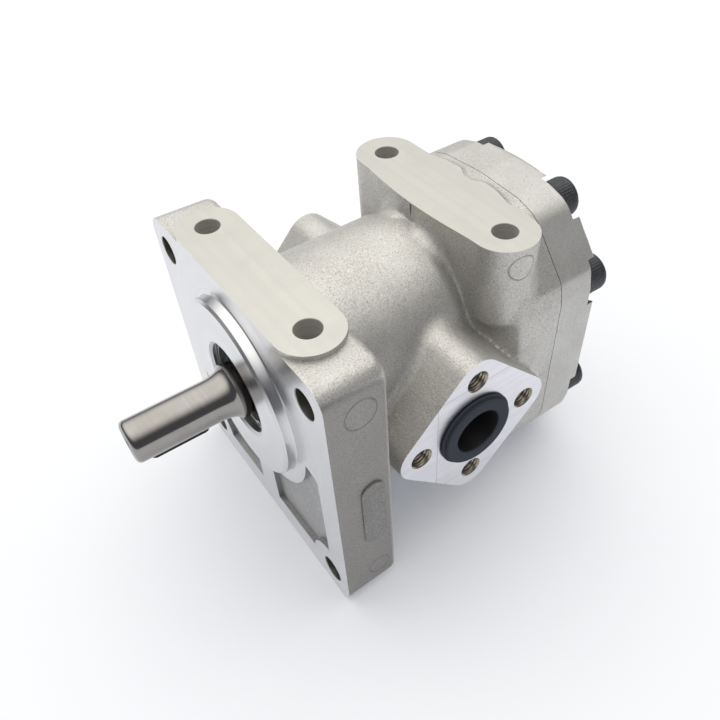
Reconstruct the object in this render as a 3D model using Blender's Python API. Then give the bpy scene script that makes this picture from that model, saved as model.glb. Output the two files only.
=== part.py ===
"""External gear pump, front flange at -Y, ports at +X and -X, two machined pads on top.

Drawing frame (mm): the drive shaft axis is x = 0, z = 0, the flange face is y = 0, +Y runs
to the rear cover.  World frame (m): the same axes, moved so that the centre of the bottom of
the bounding box is the origin.
"""

import math

import bmesh
import bpy
from mathutils import Vector

MM = 0.001
GAP = 0.3

# Gear train
CENTRE_DISTANCE = 38.8
MID_Z = -CENTRE_DISTANCE / 2
TEETH = 12
PRESSURE_ANGLE = math.radians(20)
PITCH_R = CENTRE_DISTANCE / 2
TIP_R = 22.0
ROOT_R = 15.6
BACKLASH = 0.5
CAVITY_R = 23.0
JOURNAL_R = 12.5

# Body lengths along the shaft
PORT_Y = 72.7
CAVITY_FRONT_Y = 18.6
PARTING_Y = 2 * PORT_Y - CAVITY_FRONT_Y
GEAR_HALF_WIDTH = 17.1
PLATE_T = 2.0
JOURNAL_END_Y = PARTING_Y - 1.6

# Flange and pilot
FLANGE_HALF = 70.0
FLANGE_T = 28.0
FLANGE_CORNER_R = 9.0
BOLT_SQUARE = 113.14
FLANGE_HOLE_R = 6.25
PILOT_R = 41.275
PILOT_H = 5.1
POCKET_DEPTH = 2.5
SEAL_BORE_R = 21.05
SEAL_BORE_END_Y = 9.4

# Barrel, rear rim and cover
BARREL_R = 44.0
RIM_FRONT_Y = 105.0
RIM_HALF = 56.0
RIM_TOP_Z = 52.2
COVER_REAR_Y = 148.8
SEAT_Y = 144.6
SEAT_R = 11.4

# Top pads
PAD_Z = 52.5
PAD_END_X = 39.6
PAD_R = 14.0
FRONT_PAD_Y = 13.96
REAR_PAD_Y = 105.2
PAD_HOLE_R = 5.4
PAD_HOLE_DEPTH = 20.0

# Side ports
PORT_X = 65.3
PORT_SHARP = 44.0
PORT_CORNER_R = 11.6
PORT_SEAT_R = 15.5
PORT_SEAT_DEPTH = 16.0
PASSAGE_R = 13.0
PORT_SCREW_PCR = 28.28
PORT_SCREW_R = 4.6
PORT_SCREW_DEPTH = 18.0

# Drive shaft nose
SHAFT_R = 9.525
SHAFT_END_Y = -53.9
KEY_W = 4.8
KEY_H = 4.8
KEY_FRONT_Y = -47.6
KEY_REAR_Y = -21.0
KEY_SEAT = 7.2
KEY_TURN = math.radians(6)

# Cover screws
SCREW_R = 5.7
SCREW_HEAD_R = 9.0
SCREW_HEAD_H = 12.0
SCREW_LENGTH = 35.0
SOCKET_AF = 10.0
SOCKET_DEPTH = 6.0
SCREW_TOP = (22.9, 39.6)
SCREW_SIDE = (45.6, 12.2)

# Port plugs
PLUG_RING_R = 18.4
PLUG_RIM_R = 17.2
PLUG_SLEEVE_R = PORT_SEAT_R - GAP
PLUG_MOUTH_R = 11.1
PLUG_OUTER_X = 68.5
PLUG_INNER_X = 54.0
PLUG_FLOOR = 2.6

FLANGE_BOTTOM_Z = MID_Z - FLANGE_HALF
FLANGE_TOP_Z = MID_Z + FLANGE_HALF
SCREW_TOP_Y = SEAT_Y + SCREW_HEAD_H + GAP
ORIGIN = Vector((0.0, (SCREW_TOP_Y + SHAFT_END_Y) / 2, FLANGE_BOTTOM_Z))

MATERIALS = {
    "cast_aluminium": ((0.56, 0.55, 0.52), 0.9, 0.5),
    "ground_steel": ((0.60, 0.58, 0.55), 1.0, 0.25),
    "black_oxide": ((0.03, 0.03, 0.035), 0.6, 0.45),
    "key_steel": ((0.10, 0.10, 0.10), 0.9, 0.5),
    "bearing_bronze": ((0.50, 0.33, 0.16), 1.0, 0.35),
    "block_aluminium": ((0.68, 0.69, 0.70), 1.0, 0.35),
    "black_rubber": ((0.02, 0.02, 0.022), 0.0, 0.6),
    "plug_rubber": ((0.035, 0.045, 0.06), 0.0, 0.5),
    "spring_steel": ((0.45, 0.45, 0.46), 1.0, 0.3),
    "seal_steel": ((0.20, 0.20, 0.21), 0.8, 0.45),
}


# ---------------------------------------------------------------- outlines (2-D, mm)


def arc(centre, radius, start, end, steps):
    """Points on an arc from start to end degrees, both ends included."""
    points = []
    for index in range(steps + 1):
        angle = math.radians(start + (end - start) * index / steps)
        points.append((centre[0] + radius * math.cos(angle), centre[1] + radius * math.sin(angle)))
    return points


def rounded(corners, radii, steps):
    """A polygon whose corners are replaced by arcs of the given radii."""
    points = []
    count = len(corners)
    for index, radius in enumerate(radii):
        here = Vector(corners[index])
        back = (Vector(corners[index - 1]) - here).normalized()
        ahead = (Vector(corners[(index + 1) % count]) - here).normalized()
        half = back.angle(ahead) / 2
        reach = radius / math.tan(half)
        middle = here + (back + ahead).normalized() * (radius / math.sin(half))
        first = here + back * reach - middle
        last = here + ahead * reach - middle
        begin = math.atan2(first.y, first.x)
        turn = math.atan2(last.y, last.x) - begin
        turn = (turn + math.pi) % (2 * math.pi) - math.pi
        for step in range(steps + 1):
            angle = begin + turn * step / steps
            points.append((middle.x + radius * math.cos(angle), middle.y + radius * math.sin(angle)))
    return points


def scaled(outline, factor, centre=(0.0, MID_Z)):
    """The outline scaled about a centre."""
    return [
        (centre[0] + (u - centre[0]) * factor, centre[1] + (v - centre[1]) * factor)
        for u, v in outline
    ]


def rectangle(inset=0.0):
    """The flange outline in (x, z)."""
    half = FLANGE_HALF - inset
    corners = [(half, MID_Z + half), (-half, MID_Z + half), (-half, MID_Z - half), (half, MID_Z - half)]
    return rounded(corners, [FLANGE_CORNER_R] * 4, 5)


def obround(radius, steps=12):
    """Two circles, one on each gear axis, joined by straight sides, in (x, z)."""
    upper = arc((0.0, 0.0), radius, 0, 180, steps)
    lower = arc((0.0, -CENTRE_DISTANCE), radius, 180, 360, steps)
    return upper + lower


def lobes(radius, steps=18):
    """Two overlapping circles, one on each gear axis, in (x, z)."""
    dip = math.degrees(math.asin(PITCH_R / radius))
    upper = arc((0.0, 0.0), radius, -dip, 180 + dip, steps)
    lower = arc((0.0, -CENTRE_DISTANCE), radius, 180 - dip, 360 + dip, steps)
    return upper[:-1] + lower[:-1]


def rim_outline(factor=1.0):
    """The eight-sided outline shared by the body rim and the cover, in (x, z)."""
    low = FLANGE_BOTTOM_Z
    right = [(23.5, RIM_TOP_Z - 1.6), (34.5, 47.4), (54.0, 23.8), (RIM_HALF, 14.0)]
    right += [(RIM_HALF, -52.8), (54.0, -62.6), (34.5, -86.8), (29.0, low)]
    left = [(-x, z) for x, z in reversed(right)]
    corners = [(0.0, RIM_TOP_Z)] + right + left
    radii = [60.0, 12.0, 14.0, 9.0, 12.0, 12.0, 9.0, 6.0, 4.0]
    radii = radii + radii[:0:-1]
    outline = rounded(corners, radii, 2)
    return scaled(outline, factor)


def rear_pad_outline(inset=0.0):
    """The rear pad in (x, y): round ends, and a front edge that bows forward."""
    radius = PAD_R - inset
    right = arc((PAD_END_X, REAR_PAD_Y), radius, -90, 90, 9)
    left = arc((-PAD_END_X, REAR_PAD_Y), radius, 90, 270, 9)
    front = REAR_PAD_Y - radius
    bow = [(-26.0, front - 1.0), (-13.0, front - 2.1), (0.0, front - 2.5)]
    bow += [(13.0, front - 2.1), (26.0, front - 1.0)]
    return right + left + bow


def stadium(centre_y, half_length, radius):
    """A stadium in (x, y), long in x."""
    right = arc((half_length, centre_y), radius, -90, 90, 10)
    left = arc((-half_length, centre_y), radius, 90, 270, 10)
    return right + left


def port_outline(grow=0.0):
    """The port face in (y, z): a square stood on its corner, well rounded."""
    sharp = PORT_SHARP + grow
    corners = [(sharp, 0.0), (0.0, sharp), (-sharp, 0.0), (0.0, -sharp)]
    outline = rounded(corners, [PORT_CORNER_R + grow * 0.5] * 4, 5)
    return [(PORT_Y + y, MID_Z + z) for y, z in outline]


def pocket_outline(side):
    """One lightening pocket in the flange face, in (x, z)."""
    points = arc((0.0, 0.0), 48.0, -80.4, -8.6, 12)
    points += [(54.0, -8.6), (56.0, -10.6)]
    points += arc((BOLT_SQUARE / 2, MID_Z - BOLT_SQUARE / 2), 15.0, 92.0, 176.0, 6)
    points += [(8.0, -75.0)]
    return [(side * x, z) for x, z in points]


def key_section(half_width, inner, outer):
    """A rectangle below the shaft axis in (x, z), turned with the shaft."""
    corners = [(-half_width, -outer), (half_width, -outer), (half_width, -inner), (-half_width, -inner)]
    cos, sin = math.cos(KEY_TURN), math.sin(KEY_TURN)
    return [(x * cos - z * sin, x * sin + z * cos) for x, z in corners]


def gear_outline(phase):
    """Involute teeth with a radial flank below the base circle, about (0, 0) in (x, z)."""
    base = PITCH_R * math.cos(PRESSURE_ANGLE)
    half_pitch = math.pi / (2 * TEETH) - BACKLASH / (2 * PITCH_R)
    involute = math.tan(PRESSURE_ANGLE) - PRESSURE_ANGLE

    def half_angle(radius):
        if radius <= base:
            return half_pitch + involute
        slope = math.acos(base / radius)
        return half_pitch + involute - (math.tan(slope) - slope)

    radii = [ROOT_R, base, base + 1.6, TIP_R]
    points = []
    for tooth in range(TEETH):
        middle = phase + 2 * math.pi * tooth / TEETH
        for radius in radii:
            angle = middle - half_angle(radius)
            points.append((radius * math.cos(angle), radius * math.sin(angle)))
        for radius in reversed(radii):
            angle = middle + half_angle(radius)
            points.append((radius * math.cos(angle), radius * math.sin(angle)))
    return points


def ribbon(path, width):
    """A band of even width that follows an open path."""
    left = []
    right = []
    for index, point in enumerate(path):
        before = Vector(path[max(index - 1, 0)])
        after = Vector(path[min(index + 1, len(path) - 1)])
        along = (after - before).normalized()
        normal = Vector((-along.y, along.x)) * width / 2
        left.append(tuple(Vector(point) + normal))
        right.append(tuple(Vector(point) - normal))
    return left + right[::-1]


def pressure_seal_path():
    """A three-shaped path round the outlet side of both journals, in (x, z)."""
    upper = arc((0.0, 0.0), 19.4, 100, -60, 16)
    lower = [(x, 2 * MID_Z - z) for x, z in reversed(upper)]
    return upper + lower


# ---------------------------------------------------------------- solids


def place(axis, u, v, t):
    """A point from outline coordinates and its place along the axis."""
    if axis == "X":
        return (t, u, v)
    if axis == "Y":
        return (u, t, v)
    return (u, v, t)


def add_loft(shape, axis, sections):
    """Adds a closed loft through sections (t, outline) to a bmesh, in drawing mm."""
    rings = []
    for t, outline in sections:
        rings.append([shape.verts.new(place(axis, u, v, t)) for u, v in outline])
    count = len(rings[0])
    for lower, upper in zip(rings, rings[1:]):
        for index in range(count):
            after = (index + 1) % count
            shape.faces.new((lower[index], lower[after], upper[after], upper[index]))
    shape.faces.new(rings[0])
    shape.faces.new(rings[-1])


def add_lathe(shape, axis, centre, profile, segments):
    """Adds a closed profile (radius, t) turned about an axis; a radius of 0 closes on the axis."""
    rings = []
    for radius, t in profile:
        if radius == 0:
            rings.append([shape.verts.new(place(axis, centre[0], centre[1], t))])
            continue
        ring = []
        for index in range(segments):
            angle = 2 * math.pi * (index + 0.5) / segments
            u = centre[0] + radius * math.cos(angle)
            v = centre[1] + radius * math.sin(angle)
            ring.append(shape.verts.new(place(axis, u, v, t)))
        rings.append(ring)
    pairs = list(zip(rings, rings[1:]))
    if len(rings[0]) > 1:
        pairs.append((rings[-1], rings[0]))
    for first, second in pairs:
        for index in range(segments):
            after = (index + 1) % segments
            if len(first) == 1:
                shape.faces.new((first[0], second[after], second[index]))
            elif len(second) == 1:
                shape.faces.new((first[index], first[after], second[0]))
            else:
                shape.faces.new((first[index], first[after], second[after], second[index]))


def prism(axis, outline, start, end):
    """A straight prism."""
    shape = bmesh.new()
    add_loft(shape, axis, [(start, outline), (end, outline)])
    return shape


def loft(axis, sections):
    """A loft through several sections."""
    shape = bmesh.new()
    add_loft(shape, axis, sections)
    return shape


def lathe(axis, centre, profile, segments=48):
    """A turned solid."""
    shape = bmesh.new()
    add_lathe(shape, axis, centre, profile, segments)
    return shape


def rod(axis, centre, radius, start, end, segments=32):
    """A plain cylinder."""
    return lathe(axis, centre, [(0, start), (radius, start), (radius, end), (0, end)], segments)


def tube(axis, centre, inner, outer, start, end, segments=48):
    """A plain tube."""
    return lathe(axis, centre, [(inner, start), (outer, start), (outer, end), (inner, end)], segments)


def drilled(axis, centre, radius, start, end, tip, segments=24):
    """A blind hole cutter: open end at start, a drill point beyond end by tip."""
    profile = [(0, start), (radius, start), (radius, end), (0, tip)]
    return lathe(axis, centre, profile, segments)


def band(axis, inner, outer, start, end):
    """A prism between an inner and an outer outline with the same number of points."""
    shape = bmesh.new()
    rings = []
    for outline, t in ((inner, start), (outer, start), (outer, end), (inner, end)):
        rings.append([shape.verts.new(place(axis, u, v, t)) for u, v in outline])
    count = len(inner)
    for first, second in zip(rings, rings[1:] + rings[:1]):
        for index in range(count):
            after = (index + 1) % count
            shape.faces.new((first[index], first[after], second[after], second[index]))
    return shape


# ---------------------------------------------------------------- scene objects


def clear_scene():
    """Removes everything the startup scene holds."""
    for thing in list(bpy.data.objects):
        bpy.data.objects.remove(thing, do_unlink=True)
    for collection in list(bpy.data.collections):
        bpy.data.collections.remove(collection)


def new_collection(name):
    """A collection linked to the scene."""
    collection = bpy.data.collections.new(name)
    bpy.context.scene.collection.children.link(collection)
    return collection


def make_material(name, kind):
    """A plain Principled material of one kind."""
    colour, metallic, roughness = MATERIALS[kind]
    material = bpy.data.materials.new(name + "_" + kind)
    material.use_nodes = True
    shader = material.node_tree.nodes["Principled BSDF"]
    shader.inputs["Base Color"].default_value = (*colour, 1.0)
    shader.inputs["Metallic"].default_value = metallic
    shader.inputs["Roughness"].default_value = roughness
    material.diffuse_color = (*colour, 1.0)
    return material


def world(point):
    """Drawing mm to world metres."""
    return (Vector(point) - ORIGIN) * MM


def make_object(name, shape, collection, pivot):
    """Turns a bmesh in drawing mm into an object whose origin is the pivot."""
    bmesh.ops.recalc_face_normals(shape, faces=shape.faces)
    mesh = bpy.data.meshes.new(name)
    for vert in shape.verts:
        vert.co = (vert.co - Vector(pivot)) * MM
    shape.to_mesh(mesh)
    shape.free()
    thing = bpy.data.objects.new(name, mesh)
    thing.location = world(pivot)
    collection.objects.link(thing)
    return thing


class Assembly:
    """Holds the two collections and makes the pieces."""

    def __init__(self):
        clear_scene()
        self.parts = new_collection("gear_pump")
        self.tools = new_collection("cutters")
        self.tools.hide_render = True

    def tool(self, name, shape):
        """A helper solid for a Boolean."""
        helper = make_object(name, shape, self.tools, (0.0, 0.0, 0.0))
        helper.hide_render = True
        helper.display_type = "WIRE"
        return helper

    def boolean(self, thing, operation, name, shape):
        """Adds an exact Boolean with a helper solid."""
        modifier = thing.modifiers.new(name, "BOOLEAN")
        modifier.operation = operation
        modifier.solver = "EXACT"
        modifier.object = self.tool(thing.name + "_" + name, shape)

    def piece(self, name, kind, shape, pivot=(0.0, 0.0, 0.0), adds=(), cuts=()):
        """A named piece with its own material, added and cut shapes, and smooth round faces."""
        thing = make_object(name, shape, self.parts, pivot)
        thing.data.materials.append(make_material(name, kind))
        for label, extra in adds:
            self.boolean(thing, "UNION", label, extra)
        for label, extra in cuts:
            self.boolean(thing, "DIFFERENCE", label, extra)
        thing.data.shade_smooth()
        thing.data.set_sharp_from_angle(angle=math.radians(32))
        return thing


def screw_places():
    """The eight cover screw centres in (x, z)."""
    places = []
    for x, z in (SCREW_TOP, SCREW_SIDE, (SCREW_SIDE[0], 2 * MID_Z - SCREW_SIDE[1])):
        places.append((x, z))
    places.append((SCREW_TOP[0], 2 * MID_Z - SCREW_TOP[1]))
    places += [(-x, z) for x, z in reversed(places)]
    return places


def dowel_places():
    """The two dowel centres in (x, z)."""
    return [(40.0, MID_Z), (-40.0, MID_Z)]


# ---------------------------------------------------------------- pieces


def body_adds():
    """Everything joined to the flange to make the body casting."""
    adds = [("pilot", lathe("Y", (0, 0), [(0, -PILOT_H), (PILOT_R - 1, -PILOT_H),
                                          (PILOT_R, 1 - PILOT_H), (PILOT_R, 2), (0, 2)], 56))]
    barrel = [(20.0, obround(BARREL_R + 6)), (29.0, obround(BARREL_R + 6)), (31.5, obround(BARREL_R + 3))]
    barrel += [(36.5, obround(BARREL_R)), (115.0, obround(BARREL_R))]
    adds.append(("barrel", loft("Y", barrel)))
    rim = [(94.0, rim_outline(0.78)), (RIM_FRONT_Y - 3.0, rim_outline(0.93))]
    rim += [(RIM_FRONT_Y + 2.0, rim_outline(0.99)), (RIM_FRONT_Y + 6.0, rim_outline())]
    rim += [(PARTING_Y, rim_outline())]
    adds.append(("rim", loft("Y", rim)))
    front_pad = stadium(FRONT_PAD_Y, PAD_END_X, PAD_R)
    adds.append(("front_pad", prism("Z", front_pad, 40.0, PAD_Z)))
    pad = [(-4.0, rear_pad_outline(11.0)), (16.0, rear_pad_outline()), (PAD_Z, rear_pad_outline())]
    adds.append(("rear_pad", loft("Z", pad)))
    for side, name in ((1, "right"), (-1, "left")):
        boss = [(side * 34.0, port_outline(5.0)), (side * 46.0, port_outline(1.8))]
        boss += [(side * 55.0, port_outline(0.5)), (side * PORT_X, port_outline())]
        adds.append((name + "_boss", loft("X", boss)))
    return adds


def body_cuts():
    """Everything machined or cored out of the body."""
    cuts = [("cavity", prism("Y", lobes(CAVITY_R), CAVITY_FRONT_Y, PARTING_Y + 1))]
    nose = [(0, -9.0), (SEAL_BORE_R, -9.0), (SEAL_BORE_R, -2.3), (22.1, -2.3), (22.1, -0.2)]
    nose += [(SEAL_BORE_R, -0.2), (SEAL_BORE_R, SEAL_BORE_END_Y)]
    nose += [(JOURNAL_R + 0.8, SEAL_BORE_END_Y), (JOURNAL_R + 0.8, 21.0), (0, 21.0)]
    cuts.append(("nose", lathe("Y", (0, 0), nose, 36)))
    cuts.append(("seal_groove", band("Y", obround(26.0), obround(29.0), PARTING_Y - 2.2, PARTING_Y + 1)))
    for side, name in ((1, "right"), (-1, "left")):
        seat = [(0, side * (PORT_X + 2)), (PORT_SEAT_R, side * (PORT_X + 2))]
        seat += [(PORT_SEAT_R, side * (PORT_X - PORT_SEAT_DEPTH))]
        seat += [(PASSAGE_R, side * (PORT_X - PORT_SEAT_DEPTH)), (PASSAGE_R, side * 8.0), (0, side * 8.0)]
        cuts.append((name + "_port", lathe("X", (PORT_Y, MID_Z), seat, 32)))
        for turn in range(4):
            y = PORT_Y + PORT_SCREW_PCR * math.cos(turn * math.pi / 2)
            z = MID_Z + PORT_SCREW_PCR * math.sin(turn * math.pi / 2)
            hole = drilled("X", (y, z), PORT_SCREW_R, side * (PORT_X + 2),
                           side * (PORT_X - PORT_SCREW_DEPTH), side * (PORT_X - PORT_SCREW_DEPTH - 2.5), 12)
            cuts.append((name + "_thread_" + str(turn + 1), hole))
        cuts.append((name + "_pocket", prism("Y", pocket_outline(side), -2.0, POCKET_DEPTH)))
        for level, place_z in (("top", MID_Z + BOLT_SQUARE / 2), ("low", MID_Z - BOLT_SQUARE / 2)):
            hole = rod("Y", (side * BOLT_SQUARE / 2, place_z), FLANGE_HOLE_R, -2.0, FLANGE_T + 2, 20)
            cuts.append((name + "_" + level + "_hole", hole))
        for label, y in (("front", FRONT_PAD_Y), ("rear", REAR_PAD_Y)):
            hole = drilled("Z", (side * PAD_END_X, y), PAD_HOLE_R, PAD_Z + 2,
                           PAD_Z - PAD_HOLE_DEPTH, PAD_Z - PAD_HOLE_DEPTH - 2.8, 16)
            cuts.append((name + "_" + label + "_pad_hole", hole))
    for index, centre in enumerate(screw_places()):
        hole = drilled("Y", centre, SCREW_R + GAP, PARTING_Y + 2, PARTING_Y - 21.0, PARTING_Y - 24.0, 12)
        cuts.append(("screw_hole_" + str(index + 1), hole))
    for index, centre in enumerate(dowel_places()):
        cuts.append(("dowel_hole_" + str(index + 1), rod("Y", centre, 3.3, PARTING_Y - 8.3, PARTING_Y + 2, 12)))
    return cuts


def make_body(assembly):
    """The body casting."""
    sections = [(0.0, rectangle(0.5)), (0.5, rectangle()), (23.5, rectangle())]
    sections += [(26.6, rectangle(1.3)), (FLANGE_T, rectangle(4.4))]
    assembly.piece("pump_body", "cast_aluminium", loft("Y", sections), (0, 0, 0), body_adds(), body_cuts())


def make_cover(assembly):
    """The rear cover with its eight open screw seats."""
    front = PARTING_Y + GAP
    sections = [(front, rim_outline()), (COVER_REAR_Y - 1.4, rim_outline(0.998))]
    sections += [(COVER_REAR_Y - 0.5, rim_outline(0.99)), (COVER_REAR_Y, rim_outline(0.978))]
    cuts = []
    for index, centre in enumerate(screw_places()):
        seat = [(0, COVER_REAR_Y + 3), (SEAT_R, COVER_REAR_Y + 3), (SEAT_R, SEAT_Y)]
        seat += [(SCREW_R + 0.9, SEAT_Y), (SCREW_R + 0.9, front - 3), (0, front - 3)]
        cuts.append(("seat_" + str(index + 1), lathe("Y", centre, seat, 18)))
    for index, centre in enumerate(dowel_places()):
        cuts.append(("dowel_hole_" + str(index + 1), rod("Y", centre, 3.3, front - 2, front + 8.3, 12)))
    assembly.piece("rear_cover", "cast_aluminium", loft("Y", sections), cuts=cuts)


def make_screws(assembly):
    """Socket head cap screws that hold the cover."""
    under = SEAT_Y + GAP
    for index, centre in enumerate(screw_places()):
        profile = [(0, under - SCREW_LENGTH), (SCREW_R - 0.9, under - SCREW_LENGTH)]
        profile += [(SCREW_R, under - SCREW_LENGTH + 1.2), (SCREW_R, under), (SCREW_HEAD_R, under)]
        profile += [(SCREW_HEAD_R, under + SCREW_HEAD_H - 0.9), (SCREW_HEAD_R - 0.9, under + SCREW_HEAD_H)]
        profile += [(0, under + SCREW_HEAD_H)]
        top = under + SCREW_HEAD_H
        across = SOCKET_AF / math.sqrt(3)
        hexagon = [(centre[0] + across * math.cos(math.radians(60 * k + 30)),
                    centre[1] + across * math.sin(math.radians(60 * k + 30))) for k in range(6)]
        socket = prism("Y", hexagon, top - SOCKET_DEPTH, top + 2)
        assembly.piece("cover_bolt_" + str(index + 1), "black_oxide", lathe("Y", centre, profile, 20),
                       (centre[0], under, centre[1]), cuts=[("socket", socket)])


def make_shafts(assembly):
    """The two gear shafts and the key."""
    low = PORT_Y - GEAR_HALF_WIDTH
    high = PORT_Y + GEAR_HALF_WIDTH
    profile = [(0, SHAFT_END_Y), (SHAFT_R - 1.8, SHAFT_END_Y), (SHAFT_R - 0.5, SHAFT_END_Y + 0.7)]
    profile += [(SHAFT_R, SHAFT_END_Y + 2.0), (SHAFT_R, -16.5), (SHAFT_R + 0.5, -13.0)]
    profile += [(SHAFT_R + 1.7, -9.5), (JOURNAL_R, -7.5), (JOURNAL_R, JOURNAL_END_Y - 1)]
    profile += [(JOURNAL_R - 1, JOURNAL_END_Y), (0, JOURNAL_END_Y)]
    slot = prism("Y", key_section(KEY_W / 2 + 0.3, KEY_SEAT, SHAFT_R + 3), KEY_FRONT_Y - 0.3, KEY_REAR_Y + 0.3)
    centre_hole = lathe("Y", (0, 0), [(0, SHAFT_END_Y - 1), (3.2, SHAFT_END_Y - 1), (2.6, SHAFT_END_Y),
                                      (1.2, SHAFT_END_Y + 2.4), (1.2, SHAFT_END_Y + 5), (0, SHAFT_END_Y + 5.7)], 16)
    outline = gear_outline(-math.pi / 2)
    gear = prism("Y", outline, low, high)
    assembly.piece("drive_gear_shaft", "ground_steel", lathe("Y", (0, 0), profile, 32), (0, PORT_Y, 0),
                   adds=[("gear", gear)], cuts=[("keyway", slot), ("centre_drill", centre_hole)])
    section = key_section(KEY_W / 2, KEY_SEAT + GAP, KEY_SEAT + GAP + KEY_H)
    key = prism("Y", section, KEY_FRONT_Y, KEY_REAR_Y)
    assembly.piece("shaft_key", "key_steel", key, (0, PORT_Y, 0))
    start = CAVITY_FRONT_Y + 2.4
    profile = [(0, start), (JOURNAL_R - 1, start), (JOURNAL_R, start + 1), (JOURNAL_R, JOURNAL_END_Y - 1)]
    profile += [(JOURNAL_R - 1, JOURNAL_END_Y), (0, JOURNAL_END_Y)]
    outline = [(x, z - CENTRE_DISTANCE) for x, z in gear_outline(math.pi / 2 + math.pi / TEETH)]
    gear = prism("Y", outline, low, high)
    assembly.piece("driven_gear_shaft", "ground_steel", lathe("Y", (0, -CENTRE_DISTANCE), profile, 32),
                   (0, PORT_Y, -CENTRE_DISTANCE), adds=[("gear", gear)])


def make_bearings(assembly):
    """Bearing blocks, bushes, side plates and pressure seals at both ends."""
    plate_low = PORT_Y - GEAR_HALF_WIDTH - GAP
    block_far = CAVITY_FRONT_Y + GAP
    block_near = plate_low - PLATE_T - GAP
    centres = (("drive", (0.0, 0.0)), ("driven", (0.0, -CENTRE_DISTANCE)))
    for end, sign in (("front", 1), ("rear", -1)):
        def along(y, sign=sign):
            return y if sign == 1 else 2 * PORT_Y - y
        bores = [(name + "_bore", rod("Y", centre, 16.1, along(block_far - 3), along(block_near + 3), 28))
                 for name, centre in centres]
        path = pressure_seal_path()
        groove = prism("Y", ribbon(path, 2.8), along(block_far - 2), along(block_far + 2.0))
        assembly.piece(end + "_bearing_block", "block_aluminium",
                       prism("Y", lobes(CAVITY_R - GAP), along(block_far), along(block_near)),
                       cuts=bores + [("seal_groove", groove)])
        assembly.piece(end + "_pressure_seal", "black_rubber",
                       prism("Y", ribbon(path, 2.2), along(block_far), along(block_far + 1.7)))
        for name, centre in centres:
            assembly.piece(name + "_" + end + "_bush", "bearing_bronze",
                           tube("Y", centre, JOURNAL_R + GAP, 15.8, along(block_far + 0.5), along(block_near), 28))
        holes = [(name + "_hole", rod("Y", centre, JOURNAL_R + 0.8, along(plate_low - 9), along(plate_low + 9), 28))
                 for name, centre in centres]
        assembly.piece(end + "_side_plate", "bearing_bronze",
                       prism("Y", lobes(CAVITY_R - GAP), along(plate_low - PLATE_T), along(plate_low)), cuts=holes)


def make_seals(assembly):
    """Shaft seal, its retaining ring, the cover seal and the dowels."""
    far = SEAL_BORE_END_Y - GAP
    near = 0.9
    outer = SEAL_BORE_R - GAP
    case = [(outer - 1.6, near), (outer, near), (outer, far), (14.0, far), (14.0, far - 1.4), (outer - 1.6, far - 1.4)]
    assembly.piece("shaft_seal_case", "seal_steel", lathe("Y", (0, 0), case, 36))
    lip = [(outer - 1.9, near + 0.5), (outer - 1.9, far - 1.7), (15.2, far - 1.7), (15.2, far - 3.2)]
    lip += [(JOURNAL_R + GAP, far - 4.6), (JOURNAL_R + 1.3, near + 1.6), (15.6, near + 0.5)]
    assembly.piece("shaft_seal_lip", "black_rubber", lathe("Y", (0, 0), lip, 32))
    outer_arc = arc((0, 0), 21.7, -62, 272 - 30, 40)
    ring = outer_arc + arc((0, 0), 16.6, 272 - 30, 272 - 42, 3)
    ring += arc((0, 0), 19.5, 272 - 45, -47, 34) + arc((0, 0), 16.6, -50, -62, 3)
    assembly.piece("seal_retaining_ring", "spring_steel", prism("Y", ring, -2.0, -0.5))
    seal = band("Y", obround(26.3), obround(28.7), PARTING_Y - 1.9, PARTING_Y)
    assembly.piece("cover_seal", "black_rubber", seal)
    for index, centre in enumerate(dowel_places()):
        assembly.piece("dowel_pin_" + str(index + 1), "ground_steel",
                       rod("Y", centre, 2.9, PARTING_Y - 8.0, PARTING_Y + 8.0, 12))


def make_plugs(assembly):
    """Rubber transport plugs, cups that open outwards."""
    for side, name in ((1, "right"), (-1, "left")):
        profile = [(0, side * PLUG_INNER_X), (PLUG_SLEEVE_R - 1, side * PLUG_INNER_X)]
        profile += [(PLUG_SLEEVE_R, side * (PLUG_INNER_X + 2)), (PLUG_SLEEVE_R, side * (PORT_X + GAP))]
        profile += [(PLUG_RING_R, side * (PORT_X + GAP)), (PLUG_RING_R, side * (PORT_X + 1.6))]
        profile += [(PLUG_RIM_R, side * (PORT_X + 2.1)), (PLUG_RIM_R, side * (PLUG_OUTER_X - 0.5))]
        profile += [(PLUG_RIM_R - 0.5, side * PLUG_OUTER_X), (PLUG_MOUTH_R, side * PLUG_OUTER_X)]
        profile += [(PLUG_MOUTH_R, side * (PLUG_INNER_X + PLUG_FLOOR)), (0, side * (PLUG_INNER_X + PLUG_FLOOR))]
        assembly.piece(name + "_port_plug", "plug_rubber", lathe("X", (PORT_Y, MID_Z), profile, 32),
                       (side * PORT_X, PORT_Y, MID_Z))


def main():
    """Builds the pump."""
    assembly = Assembly()
    make_body(assembly)
    make_cover(assembly)
    make_screws(assembly)
    make_shafts(assembly)
    make_bearings(assembly)
    make_seals(assembly)
    make_plugs(assembly)


main()
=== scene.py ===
"""Looks of a hydraulic gear pump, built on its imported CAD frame.

Shapes are worked out in the drawing frame, in millimetres: the drive shaft's axis is x = 0, z = 0, the
mounting flange's face is y = 0, +Y runs back to the rear cover and +Z up to the machined pads.  Datum takes
a drawing point to the frame's metres.
"""

import logging
import math
from collections.abc import Callable, Sequence
from dataclasses import dataclass, field, replace
from enum import Enum

import bpy
import numpy as np
from mathutils import Matrix, Vector


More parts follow.
